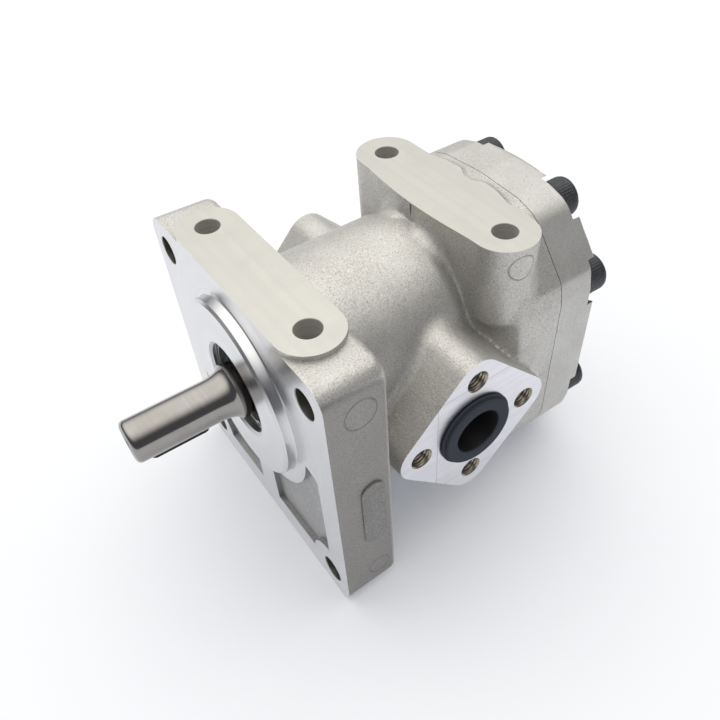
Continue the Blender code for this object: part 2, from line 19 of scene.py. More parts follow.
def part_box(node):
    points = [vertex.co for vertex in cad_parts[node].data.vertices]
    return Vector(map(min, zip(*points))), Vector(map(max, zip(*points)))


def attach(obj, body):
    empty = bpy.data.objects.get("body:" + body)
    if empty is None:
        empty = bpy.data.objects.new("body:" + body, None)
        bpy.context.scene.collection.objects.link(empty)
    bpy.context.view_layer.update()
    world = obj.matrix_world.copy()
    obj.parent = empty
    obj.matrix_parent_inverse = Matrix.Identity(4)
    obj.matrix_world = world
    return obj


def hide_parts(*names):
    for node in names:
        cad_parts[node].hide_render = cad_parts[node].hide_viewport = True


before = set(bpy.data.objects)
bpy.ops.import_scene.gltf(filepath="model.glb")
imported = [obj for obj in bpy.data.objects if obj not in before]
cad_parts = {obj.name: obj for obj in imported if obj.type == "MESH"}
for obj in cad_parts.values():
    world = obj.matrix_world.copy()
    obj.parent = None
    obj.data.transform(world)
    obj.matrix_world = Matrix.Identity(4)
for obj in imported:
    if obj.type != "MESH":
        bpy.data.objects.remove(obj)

MM = 0.001
Array = np.ndarray
Colour = tuple[float, float, float]
Pair = tuple[float, float]
Triple = tuple[float, float, float]
Field = Callable[[Array, Array, Array], Array]
SAME_POINT = 1e-12
NUDGE = 0.04
FLATTEST = 0.2
LOG = logging.getLogger("gear_pump")


# ------------------------------------------------------------------ the drawing's driving sizes


@dataclass(frozen=True)
class Sizes:
    """The sizes that more than one sub-assembly needs, in mm."""

    centre_distance: float = 38.8
    pilot_height: float = 5.1
    port_y: float = 72.7
    parting_y: float = 126.8
    cavity_front: float = 18.6
    flange_half: float = 70.0
    hole_square: float = 113.14
    seal_bore: float = 21.05
    seal_bore_end: float = 9.4
    screw_r: float = 5.7
    seat_y: float = 144.6
    seat_r: float = 11.4
    cover_rear: float = 148.8
    port_x: float = 65.3
    port_seat_r: float = 15.5
    port_seat_depth: float = 16.0
    chamber_r: float = 23.0
    dowel_x: float = 40.0
    dowel_bore: float = 3.3
    dowel_depth: float = 8.3
    gap: float = 0.3

    @property
    def mid_z(self) -> float:
        """Half-way between the two gear axes, which is also the flange's and the ports' height."""
        return -self.centre_distance / 2

    def screw_places(self) -> list[Pair]:
        """The cover screws' axes in (x, z), mirrored left to right and about mid_z."""
        quarter = [(22.9, 39.6), (45.6, 12.2)]
        right = quarter + [(x, 2 * self.mid_z - z) for x, z in reversed(quarter)]
        return right + [(-x, z) for x, z in reversed(right)]


SIZES = Sizes()


@dataclass(frozen=True)
class Datum:
    """The drawing's origin in the frame, in metres."""

    origin: Triple

    @classmethod
    def from_frame(cls) -> "Datum":
        """Reads the origin from the shaft's and the body's boxes."""
        shaft_low, shaft_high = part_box("drive_gear_shaft")
        body_low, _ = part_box("pump_body")
        return cls((0.0, body_low[1] + SIZES.pilot_height * MM, (shaft_low[2] + shaft_high[2]) / 2))

    def world(self, points: Array) -> Array:
        """Drawing millimetres to frame metres."""
        return np.asarray(points) * MM + np.array(self.origin)


DATUM = Datum.from_frame()


# ------------------------------------------------------------------ shells: meshes from arrays


class Axis(Enum):
    """The direction a profile is turned about or an outline is carried along."""

    X = (1, 2, 0)
    Y = (0, 2, 1)
    Z = (0, 1, 2)

    def place(self, u: Array, v: Array, along: Array) -> Array:
        """Points from two cross coordinates and the place along the axis.

        Args:
            u: first cross coordinate (y for X, x for Y and Z).
            v: second cross coordinate (z for X and Y, y for Z).
            along: place along the axis.

        Returns:
            The points, with x, y, z in the last dimension.
        """
        u, v, along = np.broadcast_arrays(u, v, along)
        points = np.empty(u.shape + (3,))
        for slot, values in zip(self.value, (u, v, along)):
            points[..., slot] = values
        return points

    def ring(self, centre: Pair, radius: Array | float, angle: Array, along: Array | float) -> Array:
        """Points round the axis: u = c + r cos a, v = c + r sin a."""
        return self.place(centre[0] + radius * np.cos(angle), centre[1] + radius * np.sin(angle), along)

    def poles(self, centre: Pair, low: float, high: float) -> list[Array]:
        """The two points that close a surface on its axis."""
        return [self.place(*centre, at) for at in (low, high)]


@dataclass
class Shell:
    """A closed surface in drawing millimetres.

    Attributes:
        points: vertices, one row each.
        faces: index arrays of three, four or more columns.
        slots: for each array of faces, the finish slot of each face.
    """

    points: Array
    faces: list[Array]
    slots: list[Array]

    def joined(self, *others: "Shell") -> "Shell":
        """This shell and others as one list of separate surfaces.

        Args:
            others: shells that don't touch this one.

        Returns:
            One shell that holds them all.
        """
        points, faces, slots = [self.points], list(self.faces), list(self.slots)
        start = len(self.points)
        for other in others:
            points.append(other.points)
            faces += [part + start for part in other.faces]
            slots += other.slots
            start += len(other.points)
        return Shell(np.concatenate(points), faces, slots)

    def volume(self) -> float:
        """Six times the signed volume, from the fans of triangles round each face's first corner."""
        total = 0.0
        for part in self.faces:
            corner = self.points[part]
            for k in range(1, part.shape[1] - 1):
                cross = np.cross(corner[:, k], corner[:, k + 1])
                total += float(np.einsum("ij,ij->", corner[:, 0], cross))
        return total

    def outward(self) -> "Shell":
        """The shell with its faces turned to look outwards."""
        if self.volume() < 0:
            self.faces = [part[:, ::-1] for part in self.faces]
        return self

    def swung(self, degrees: float) -> "Shell":
        """The shell turned about the drive shaft's axis, from -Z towards +X.

        Args:
            degrees: how far it is turned.

        Returns:
            The turned shell.
        """
        cos, sin = math.cos(math.radians(degrees)), math.sin(math.radians(degrees))
        turn = np.array([[cos, 0, -sin], [0, 1, 0], [sin, 0, cos]])
        return replace(self, points=self.points @ turn.T)

    def made(self, name: str, finishes: Sequence["Finish"]) -> bpy.types.Object:
        """The shell as a mesh object at the origin, in metres.

        Args:
            name: the piece's name.
            finishes: one finish for each slot.

        Returns:
            The new object, linked to the scene.
        """
        mesh = bpy.data.meshes.new(name)
        corners = np.concatenate([part.ravel() for part in self.faces]).astype(np.int32)
        counts = np.concatenate([np.full(len(part), part.shape[1]) for part in self.faces])
        mesh.vertices.add(len(self.points))
        mesh.vertices.foreach_set("co", DATUM.world(self.points).astype(np.float32).ravel())
        mesh.loops.add(len(corners))
        mesh.loops.foreach_set("vertex_index", corners)
        mesh.polygons.add(len(counts))
        mesh.polygons.foreach_set("loop_start", (np.cumsum(counts) - counts).astype(np.int32))
        mesh.polygons.foreach_set("material_index", np.concatenate(self.slots).astype(np.int32))
        mesh.update(calc_edges=True)
        mesh.validate()
        made = bpy.data.objects.new(name, mesh)
        for finish in finishes:
            mesh.materials.append(finish.material())
        bpy.context.scene.collection.objects.link(made)
        return made


def lattice(rows: Array, slots: Sequence[int] | None = None, ends: Sequence[Array] = ()) -> Shell:
    """A surface over a grid: rows of points that close round on themselves.

    Args:
        rows: points [row, column, 3].
        slots: finish slot of each strip between two rows; 0 everywhere if left out.
        ends: two pole points that close the first and the last row; with none, the last row joins the first.

    Returns:
        The closed shell, faces outwards.
    """
    count, sides = rows.shape[:2]
    index = np.arange(count * sides).reshape(count, sides)
    if not len(ends):
        index = np.vstack([index, index[:1]])
    after = np.roll(index, -1, axis=1)
    quads = np.stack([index[:-1], after[:-1], after[1:], index[1:]], axis=-1)
    strips = np.zeros(len(quads) + 2 * bool(len(ends)), int) if slots is None else np.asarray(slots)
    points = rows.reshape(-1, 3)
    faces = [quads.reshape(-1, 4)]
    if not len(ends):
        return Shell(points, faces, [np.repeat(strips, sides)]).outward()
    points = np.vstack([points, np.asarray(ends)])
    first, last = np.full(sides, count * sides), np.full(sides, count * sides + 1)
    faces.append(np.stack([after[0], index[0], first], axis=-1))
    faces.append(np.stack([index[-1], after[-1], last], axis=-1))
    picks = [np.repeat(strips[1:-1], sides), np.full(sides, strips[0]), np.full(sides, strips[-1])]
    return Shell(points, faces, picks).outward()


def turned(
    profile: Sequence[Pair],
    axis: Axis,
    centre: Pair = (0.0, 0.0),
    sides: int = 64,
    slots: Sequence[int] | None = None,
) -> Shell:
    """A profile (radius, along) turned about an axis: u = c + r cos a, v = c + r sin a.

    Args:
        profile: points in order; two ends of radius 0 become poles, and any other profile is a closed loop.
        axis: the axis turned about.
        centre: the axis' place in the two cross coordinates.
        sides: columns round the axis.
        slots: finish slot of each stretch of the profile.

    Returns:
        The closed shell.
    """
    table = np.array(profile, float)
    angle = 2 * np.pi * (np.arange(sides) + 0.5) / sides
    whole = axis.ring(centre, table[:, :1], angle, table[:, 1:])
    if table[0, 0] > 0:
        return lattice(whole, slots)
    return lattice(whole[1:-1], slots, (whole[0, 0], whole[-1, 0]))


def drilled(centre: Pair, radius: float, start: float, end: float, tip: float, sides: int) -> Shell:
    """A drill's cutter along Y: a straight wall from start to end, then a cone to its tip."""
    return turned([(0, start), (radius, start), (radius, end), (0, tip)], Axis.Y, centre, sides)


def prism(outline: Array, axis: Axis, low: float, high: float) -> Shell:
    """An outline carried straight along an axis, with flat ends.

    Args:
        outline: points (u, v) in order round the outline.
        axis: the axis it is carried along.
        low: where it starts.
        high: where it ends.

    Returns:
        The closed shell.
    """
    outline = np.asarray(outline, float)
    count = len(outline)
    points = np.vstack([axis.place(outline[:, 0], outline[:, 1], at) for at in (low, high)])
    index = np.arange(count)
    after = np.roll(index, -1)
    wall = np.stack([index, after, after + count, index + count], axis=-1)
    caps = np.stack([index[::-1], index + count])
    return Shell(points, [wall, caps], [np.zeros(count, int), np.zeros(2, int)]).outward()


def box(low: Triple, high: Triple) -> Shell:
    """A block between two corners."""
    outline = np.array([(low[0], low[1]), (high[0], low[1]), (high[0], high[1]), (low[0], high[1])])
    return prism(outline, Axis.Z, low[2], high[2])


def arc(centre: Pair, radius: float, start: float, end: float, steps: int) -> Array:
    """Points on an arc, centre + r (cos a, sin a), from start to end degrees with both ends."""
    angle = np.radians(np.linspace(start, end, steps + 1))
    return np.stack([centre[0] + radius * np.cos(angle), centre[1] + radius * np.sin(angle)], axis=1)


def rounded(corners: Sequence[Pair], radii: Sequence[float], steps: int = 8) -> Array:
    """A polygon whose corners become arcs tangent to both sides.

    Args:
        corners: the sharp corners, anticlockwise or clockwise.
        radii: one radius for each corner.
        steps: chords in each arc.

    Returns:
        The outline's points in order.
    """
    here = np.array(corners, float)
    back = np.roll(here, 1, axis=0) - here
    ahead = np.roll(here, -1, axis=0) - here
    back /= np.linalg.norm(back, axis=1, keepdims=True)
    ahead /= np.linalg.norm(ahead, axis=1, keepdims=True)
    half = np.arccos(np.clip((back * ahead).sum(axis=1), -1, 1)) / 2
    size = np.array(radii, float)
    bisector = back + ahead
    bisector /= np.linalg.norm(bisector, axis=1, keepdims=True)
    middle = here + bisector * (size / np.sin(half))[:, None]
    first = here + back * (size / np.tan(half))[:, None] - middle
    last = here + ahead * (size / np.tan(half))[:, None] - middle
    begin = np.arctan2(first[:, 1], first[:, 0])
    turn = np.arctan2(last[:, 1], last[:, 0]) - begin
    turn = (turn + np.pi) % (2 * np.pi) - np.pi
    angle = begin[:, None] + turn[:, None] * np.linspace(0, 1, steps + 1)
    ring = np.stack([np.cos(angle), np.sin(angle)], axis=-1) * size[:, None, None]
    return (middle[:, None] + ring).reshape(-1, 2)


# ------------------------------------------------------------------ fields: castings as distances


def join(a: Array, b: Array, radius: Array | float) -> Array:
    """The union of two distance fields with a round fillet: max(r, min(a, b)) - |(r - a, r - b)|+."""
    blend = np.hypot(np.maximum(radius - a, 0), np.maximum(radius - b, 0))
    return np.maximum(radius, np.minimum(a, b)) - blend


def meet(a: Array, b: Array, radius: Array | float) -> Array:
    """What two distance fields share, with a round outer edge: min(-r, max(a, b)) + |(r + a, r + b)|+."""
    blend = np.hypot(np.maximum(radius + a, 0), np.maximum(radius + b, 0))
    return np.minimum(-radius, np.maximum(a, b)) + blend


def ramp(value: Array, start: float, end: float) -> Array:
    """A smooth step from 0 at start to 1 at end: t t (3 - 2 t)."""
    t = np.clip((value - start) / (end - start), 0, 1)
    return t * t * (3 - 2 * t)


def bar_distance(u: Array, v: Array, low: float, high: float, radius: float) -> Array:
    """Distance to a bar with round ends that lies along u from low to high."""
    return np.hypot(u - np.clip(u, low, high), v) - radius


def plate_distance(u: Array, v: Array, half_u: float, half_v: float, corner: float) -> Array:
    """Distance to a rectangle with round corners, centred on 0.

    Args:
        u: first coordinate.
        v: second coordinate.
        half_u: half the width along u.
        half_v: half the width along v.
        corner: the corners' radius.

    Returns:
        The distance, negative inside.
    """
    a = np.abs(u) - half_u + corner
    b = np.abs(v) - half_v + corner
    return np.hypot(np.maximum(a, 0), np.maximum(b, 0)) + np.minimum(np.maximum(a, b), 0) - corner


def outline_distance(outline: Array, u: Array, v: Array) -> Array:
    """Signed distance to a closed outline: the nearest side, negative inside by the crossing rule.

    Args:
        outline: the outline's points.
        u: first coordinate, any shape.
        v: second coordinate, of a shape that broadcasts with u.

    Returns:
        The distances.
    """
    u, v = np.broadcast_arrays(u, v)
    nearest = np.full(u.shape, np.inf)
    inside = np.zeros(u.shape, bool)
    for start, end in zip(outline, np.roll(outline, -1, axis=0)):
        side = end - start
        length = float(side @ side)
        if length < SAME_POINT:
            continue
        du, dv = u - start[0], v - start[1]
        share = np.clip((du * side[0] + dv * side[1]) / length, 0, 1)
        nearest = np.minimum(nearest, (du - share * side[0]) ** 2 + (dv - share * side[1]) ** 2)
        spans = (start[1] > v) != (end[1] > v)
        if side[1]:
            inside ^= spans & (u < start[0] + dv * side[0] / side[1])
    return np.where(inside, -1, 1) * np.sqrt(nearest)


def settled(points: Array, solid: Field, rounds: int, reach: float) -> Array:
    """Points moved onto the field's zero by Newton steps, p - f grad f / |grad f|^2.

    Args:
        points: points near the surface.
        solid: the distance field.
        rounds: how many steps.
        reach: the longest step, in mm.

    Returns:
        The moved points.
    """
    for _ in range(rounds):
        value = solid(*points.T)
        slope = np.empty_like(points)
        for k in range(3):
            ahead = points.copy()
            ahead[:, k] += NUDGE
            slope[:, k] = (solid(*ahead.T) - value) / NUDGE
        step = value[:, None] * slope / np.maximum((slope**2).sum(axis=1, keepdims=True), FLATTEST)
        points = points - np.clip(step, -reach, reach)
    return points


def skin(solid: Field, low: Triple, high: Triple, pitch: float) -> Shell:
    """The zero surface of a field as quads: one vertex in each grid cell that the surface crosses.

    Each vertex is the mean of where the surface crosses its cell's edges, then is settled onto the field,
    and each grid edge that crosses the surface joins the four cells round it in one quad.

    Args:
        solid: the distance field, negative inside.
        low: lowest corner of the grid, outside the solid.
        high: highest corner of the grid, outside the solid.
        pitch: the grid's pitch in mm.

    Returns:
        The closed shell.
    """
    axes = [np.arange(start, end + pitch, pitch) for start, end in zip(low, high)]
    shape = tuple(len(values) for values in axes)
    values = np.broadcast_to(solid(*np.ix_(*axes)), shape)
    cells = tuple(count - 1 for count in shape)
    total, hits, crossings = np.zeros(cells + (3,)), np.zeros(cells), []
    for axis in range(3):
        others = [(axis + 1) % 3, (axis + 2) % 3]
        start = np.moveaxis(values, axis, 0)[:-1]
        end = np.moveaxis(values, axis, 0)[1:]
        crossed = np.moveaxis((start < 0) != (end < 0), 0, axis)
        share = np.moveaxis(start / np.where(start == end, 1, start - end), 0, axis)
        crossings.append(crossed)
        for p in (0, 1):
            for q in (0, 1):
                window = [slice(None)] * 3
                window[others[0]] = slice(p, cells[others[0]] + p)
                window[others[1]] = slice(q, cells[others[1]] + q)
                hit = crossed[tuple(window)]
                hits += hit
                total[..., axis] += hit * share[tuple(window)]
                total[..., others[0]] += hit * p
                total[..., others[1]] += hit * q
    used = hits > 0
    place = np.stack(np.nonzero(used), axis=1) + total[used] / hits[used][:, None]
    number = np.full(cells, -1)
    number[used] = np.arange(len(place))
    quads = []
    for axis in range(3):
        order = (axis, (axis + 1) % 3, (axis + 2) % 3)
        crossed = crossings[axis].transpose(order)[:, 1:-1, 1:-1]
        leaves = (values.transpose(order)[:-1] < 0)[:, 1:-1, 1:-1]
        near = number.transpose(order)
        around = [near[:, :-1, :-1], near[:, 1:, :-1], near[:, 1:, 1:], near[:, :-1, 1:]]
        ring = np.stack([part[crossed] for part in around], axis=1)
        quads.append(np.where(leaves[crossed][:, None], ring, ring[:, ::-1]))
    faces = np.concatenate(quads)
    points = settled(np.array(low) + place * pitch, solid, 3, pitch * 0.4)
    return Shell(points, [faces], [np.zeros(len(faces), int)]).outward()


def machined(target: bpy.types.Object, tools: Sequence[bpy.types.Object], union: bool = False) -> None:
    """Cuts tools out of a piece, or joins them to it; cut faces keep the tool's finish.

    Args:
        target: the piece.
        tools: closed meshes, removed afterwards.
        union: True joins the tools instead.
    """
    for tool in tools:
        cut = target.modifiers.new(tool.name, "BOOLEAN")
        cut.operation = "UNION" if union else "DIFFERENCE"
        cut.object = tool
        cut.solver = "MANIFOLD"
        cut.material_mode = "TRANSFER"
    graph = bpy.context.evaluated_depsgraph_get()
    done = bpy.data.meshes.new_from_object(target.evaluated_get(graph))
    target.modifiers.clear()
    before = target.data
    target.data = done
    done.name = target.name
    bpy.data.meshes.remove(before)
    for tool in tools:
        mesh = tool.data
        bpy.data.objects.remove(tool)
        bpy.data.meshes.remove(mesh)


def smoothed(piece: bpy.types.Object, degrees: float = 34.0) -> None:
    """Shades a piece smooth, with sharp edges past an angle and wherever the finish changes.

    Args:
        piece: the piece.
        degrees: the angle past which an edge stays sharp.
    """
    mesh = piece.data
    mesh.polygons.foreach_set("use_smooth", np.ones(len(mesh.polygons), bool))
    mesh.set_sharp_from_angle(angle=math.radians(degrees))
    slot = np.empty(len(mesh.polygons), np.int32)
    mesh.polygons.foreach_get("material_index", slot)
    count = np.empty(len(mesh.polygons), np.int32)
    mesh.polygons.foreach_get("loop_total", count)
    edge = np.empty(len(mesh.loops), np.int32)
    mesh.loops.foreach_get("edge_index", edge)
    sharp = np.empty(len(mesh.edges), bool)
    mesh.edges.foreach_get("use_edge_sharp", sharp)
    low, high = np.full(len(sharp), slot.max() + 1), np.full(len(sharp), -1)
    np.minimum.at(low, edge, np.repeat(slot, count))
    np.maximum.at(high, edge, np.repeat(slot, count))
    mesh.edges.foreach_set("use_edge_sharp", sharp | (low != high))
    mesh.update()


# ------------------------------------------------------------------ shader arithmetic


class Wire:
    """A shader socket that takes part in Python arithmetic; each operator adds one Math node."""

    def __init__(self, bench: "Tree", socket: bpy.types.NodeSocket) -> None:
        """Wraps an output socket of the bench's tree."""
        self.bench = bench
        self.socket = socket

    def math(self, operation: str, *others: "Wire | float", first: "Wire | float | None" = None) -> "Wire":
        """One Math node on this socket.

        Args:
            operation: the node's operation.
            others: its second and third values.
            first: a value to stand before this one, for reflected operators.

        Returns:
            The node's output.
        """
        values = (self, *others) if first is None else (first, self)
        return self.bench.node("ShaderNodeMath", {"operation": operation}, dict(enumerate(values)))

    def __add__(self, other: "Wire | float") -> "Wire":
        """self + other."""
        return self.math("ADD", other)

    def __radd__(self, other: float) -> "Wire":
        """other + self."""
        return self.math("ADD", first=other)

    def __sub__(self, other: "Wire | float") -> "Wire":
        """self - other."""
        return self.math("SUBTRACT", other)

    def __rsub__(self, other: float) -> "Wire":
        """other - self."""
        return self.math("SUBTRACT", first=other)

    def __mul__(self, other: "Wire | float") -> "Wire":
        """self * other."""
        return self.math("MULTIPLY", other)

    def __rmul__(self, other: float) -> "Wire":
        """other * self."""
        return self.math("MULTIPLY", first=other)

    def __abs__(self) -> "Wire":
        """The size of self."""
        return self.math("ABSOLUTE")

    def most(self, other: "Wire | float") -> "Wire":
        """The larger of two values."""
        return self.math("MAXIMUM", other)

    def hypot(self, other: "Wire") -> "Wire":
        """The length of (self, other)."""
        return (self * self + other * other).math("SQRT")

    def step(self, start: float, end: float, low: float = 0.0, high: float = 1.0) -> "Wire":
        """A smooth step from low at start to high at end.

        Args:
            start: where the step begins.
            end: where it ends.
            low: the value before it.
            high: the value after it.

        Returns:
            The stepped value.
        """
        settings = {"interpolation_type": "SMOOTHSTEP"}
        inputs = {"Value": self, "From Min": start, "From Max": end, "To Min": low, "To Max": high}
        return self.bench.node("ShaderNodeMapRange", settings, inputs)


class Tree:
    """A node tree that is filled through wires."""

    def __init__(self, tree: bpy.types.NodeTree) -> None:
        """Starts from an empty tree."""
        self.tree = tree
        tree.nodes.clear()

    def node(
        self, kind: str, settings: dict | None = None, inputs: dict | None = None, output: int | str = 0
    ) -> Wire:
        """Adds any node: its settings first, then its sockets.

        Args:
            kind: the node's type.
            settings: its own properties.
            inputs: values or wires by socket name or number.
            output: the output wanted.

        Returns:
            That output as a wire.
        """
        made = self.tree.nodes.new(kind)
        for key, value in (settings or {}).items():
            setattr(made, key, value)
        for key, value in (inputs or {}).items():
            if isinstance(value, Wire):
                self.tree.links.new(value.socket, made.inputs[key])
            else:
                made.inputs[key].default_value = value
        return Wire(self, made.outputs[output])

    def axes(self, point: Wire) -> tuple[Wire, Wire, Wire]:
        """A vector's three numbers."""
        split = self.node("ShaderNodeSeparateXYZ", inputs={0: point}).socket.node
        return Wire(self, split.outputs[0]), Wire(self, split.outputs[1]), Wire(self, split.outputs[2])

    def vector(self, x: Wire | float, y: Wire | float, z: Wire | float) -> Wire:
        """A vector from three numbers."""
        return self.node("ShaderNodeCombineXYZ", inputs={0: x, 1: y, 2: z})

    def mix(self, share: Wire | float, a: Wire | Colour, b: Wire | Colour) -> Wire:
        """Colour a turned towards colour b.

        Args:
            share: 0 gives a, 1 gives b.
            a: first colour.
            b: second colour.

        Returns:
            The colour.
        """
        shades = [shade if isinstance(shade, Wire) else (*shade, 1.0) for shade in (a, b)]
        return self.node("ShaderNodeMix", {"data_type": "RGBA"}, {0: share, 6: shades[0], 7: shades[1]}, 2)


class Bench(Tree):
    """The node tree of one finish, ending in a Principled shader."""

    def __init__(self, name: str, **constants: float | tuple) -> None:
        """Starts a material.

        Args:
            name: the material's name.
            constants: values set on the shader's own sockets, underscores for spaces.
        """
        self.material = bpy.data.materials.new(name)
        self.material.use_nodes = True
        super().__init__(self.material.node_tree)
        self.shader = self.tree.nodes.new("ShaderNodeBsdfPrincipled")
        output = self.tree.nodes.new("ShaderNodeOutputMaterial")
        self.tree.links.new(self.shader.outputs["BSDF"], output.inputs["Surface"])
        for key, value in constants.items():
            self.shader.inputs[key.replace("_", " ")].default_value = value

    def place(self) -> Wire:
        """The surface point in drawing millimetres."""
        point = self.node("ShaderNodeTexCoord", output="Object")
        shift = tuple(-value / MM for value in DATUM.origin)
        inputs = {0: point, 1: (1 / MM,) * 3, 2: shift}
        return self.node("ShaderNodeVectorMath", {"operation": "MULTIPLY_ADD"}, inputs)

    def noise(self, point: Wire, grain: float, detail: float = 2.0, rough: float = 0.5) -> Wire:
        """Fractal noise from 0 to 1.

        Args:
            point: where it is read, in mm.
            grain: the size of its largest lumps, in mm.
            detail: how many finer layers are added.
            rough: how strong the finer layers are.

        Returns:
            The noise.
        """
        inputs = {"Vector": point, "Scale": 1 / grain, "Detail": detail, "Roughness": rough}
        return self.node("ShaderNodeTexNoise", inputs=inputs)

    def facets(self, point: Wire, grain: float) -> Wire:
        """Cells of about one grain, in mm, each with its own random value."""
        inputs = {"Vector": point, "Scale": 1 / grain}
        return self.axes(self.node("ShaderNodeTexVoronoi", inputs=inputs, output="Color"))[0]

    def bump(self, height: Wire, depth: float, before: Wire | None = None) -> Wire:
        """A normal from a height.

        Args:
            height: the height, as a share of depth.
            depth: the depth in mm.
            before: a coarser normal that this one adds to.

        Returns:
            The normal.
        """
        inputs = {"Height": height, "Distance": depth * MM, "Strength": 1.0}
        if before is not None:
            inputs["Normal"] = before
        return self.node("ShaderNodeBump", inputs=inputs)

    def finished(self, **wires: Wire) -> bpy.types.Material:
        """Joins wires to the shader's sockets and gives the material.

        Args:
            wires: socket names, underscores for spaces.

        Returns:
            The material.
        """
        for key, wire in wires.items():
            self.tree.links.new(wire.socket, self.shader.inputs[key.replace("_", " ")])
        return self.material


# ------------------------------------------------------------------ finishes


@dataclass(frozen=True)
class Finish:
    """A surface finish; each kind makes its own material once."""

    name: str

    def material(self) -> bpy.types.Material:
        """The finish's material, made the first time it is asked for."""
        known = bpy.data.materials.get(self.name)
        return known if known is not None else self.shaded()

    def shaded(self) -> bpy.types.Material:
        """Makes the material."""
        raise NotImplementedError


# Grain colours: painted light on the raised tops and painted shade in the pits, over the skin's own grain
# tone.
GRAIN_TOP_PAINTED_LIGHT: Colour = (0.68, 0.67, 0.65)
GRAIN_PIT_PAINTED_SHADE: Colour = (0.30, 0.29, 0.275)
# Painted glint colour, laid on the cast skin's brightest facets.
PAINTED_GLINT_TONE: Colour = (0.86, 0.86, 0.86)
# Painted shade laid on the flange's +X side, which faces away from the light.
PAINTED_FLANGE_SHADE: Colour = (0.20, 0.185, 0.18)
MARK_SHADE: Colour = (0.16, 0.145, 0.125)
SCRIBE_SHADE: Colour = (0.33, 0.32, 0.34)
OXIDE_LIGHT: Colour = (0.075, 0.08, 0.088)
# Painted glint colour for small bright specks on the black screws.
PAINTED_GLINT_STEEL: Colour = (0.30, 0.30, 0.30)


@dataclass(frozen=True)
class RingMark:
    """The round outline that a mould pin leaves on a side face."""

    y: float
    z: float
    radius: float


@dataclass(frozen=True)
class CastSkin(Finish):
    """Shot-blasted aluminium casting: warm grey, finely grained, with painted glints on single bright facets.

    Attributes:
        grain: size of the blasted dimples, in mm.
        depth: depth of the dimples, in mm.
        light: colour of the open patches.
        dark: colour of the dull patches.
        painted_glint: how strongly the brightest facets are lightened as painted glints.
        painted_side_shade: how strongly the flange's +X side is darkened with a painted shade, as that side
            faces away from the light.
        grain_light_and_shade: how strong the grain's tone is, partly real grain and partly painted light on
            its raised tops and painted shade in its pits.
        marks: mould pin outlines on the side that faces +X.
    """

    grain: float = 0.55
    depth: float = 0.075
    light: Colour = (0.57, 0.56, 0.53)
    dark: Colour = (0.50, 0.485, 0.455)
    painted_glint: float = 0.35
    painted_side_shade: float = 0.0
    grain_light_and_shade: float = 1.0
    marks: tuple[RingMark, ...] = ()

    def shaded(self) -> bpy.types.Material:
        """Dimples of two sizes, warm blotches, painted glints on the brightest facets, painted light and
        shade on the grain, a painted shade on the flange's +X side, and the pin marks.
        """
        bench = Bench(self.name, IOR=1.5, Metallic=0.86)
        point = bench.place()
        x, y, z = bench.axes(point)
        blotch = bench.noise(point, 16.0, 3.0, 0.55)
        dimple = bench.noise(point, self.grain, 2.0, 0.6)
        glint_facet = bench.facets(point, self.grain * 0.9)
        peel = bench.noise(point, 2.6, 2.0, 0.5)
        tone = bench.mix(blotch.step(0.35, 0.68), self.dark, self.light)
        # The grain's tone follows its bump: partly real grain, partly painted light on the raised tops and
        # painted shade in the pits.
        tone = bench.mix(dimple.step(0.38, 0.7) * (0.5 * self.grain_light_and_shade), tone, GRAIN_TOP_PAINTED_LIGHT)
        tone = bench.mix((1 - dimple.step(0.28, 0.45)) * (0.6 * self.grain_light_and_shade), tone, GRAIN_PIT_PAINTED_SHADE)
        # Painted glints: the brightest facets are lightened towards a glint colour.
        tone = bench.mix(glint_facet.step(0.86, 1.0) * self.painted_glint, tone, PAINTED_GLINT_TONE)
        # Painted shade: the flange's +X side face is darkened because it faces away from the light.
        if self.painted_side_shade:
            side = x.step(67.6, 68.6) * (1 - y.step(26.0, 29.0))
            tone = bench.mix(side * self.painted_side_shade, tone, PAINTED_FLANGE_SHADE)
        normal = bench.bump(peel, 0.12)
        groove = None
        for mark in self.marks:
            ring = abs((y - mark.y).hypot(z - mark.z) - mark.radius)
            line = (1 - ring.step(0.1, 0.45)) * x.step(40.0, 44.0)
            groove = line if groove is None else groove.most(line)
        if groove is not None:
            normal = bench.bump(1 - groove, 0.3, normal)
            tone = bench.mix(groove * 0.35, tone, MARK_SHADE)
        normal = bench.bump(dimple + 0.35 * glint_facet, self.depth, normal)
        rough = dimple.step(0.3, 0.7, 0.56, 0.44)
        return bench.finished(Base_Color=tone, Roughness=rough, Normal=normal)


class Lay(Enum):
    """The direction in which a cutter's marks run."""

    SHAFT_RINGS = "rings about the drive shaft"
    ALONG_X = "lines along x"
    ALONG_Y = "lines along y"
    RISING = "rings about an upright hole"
    SMOOTH = "no lay, only a satin haze"


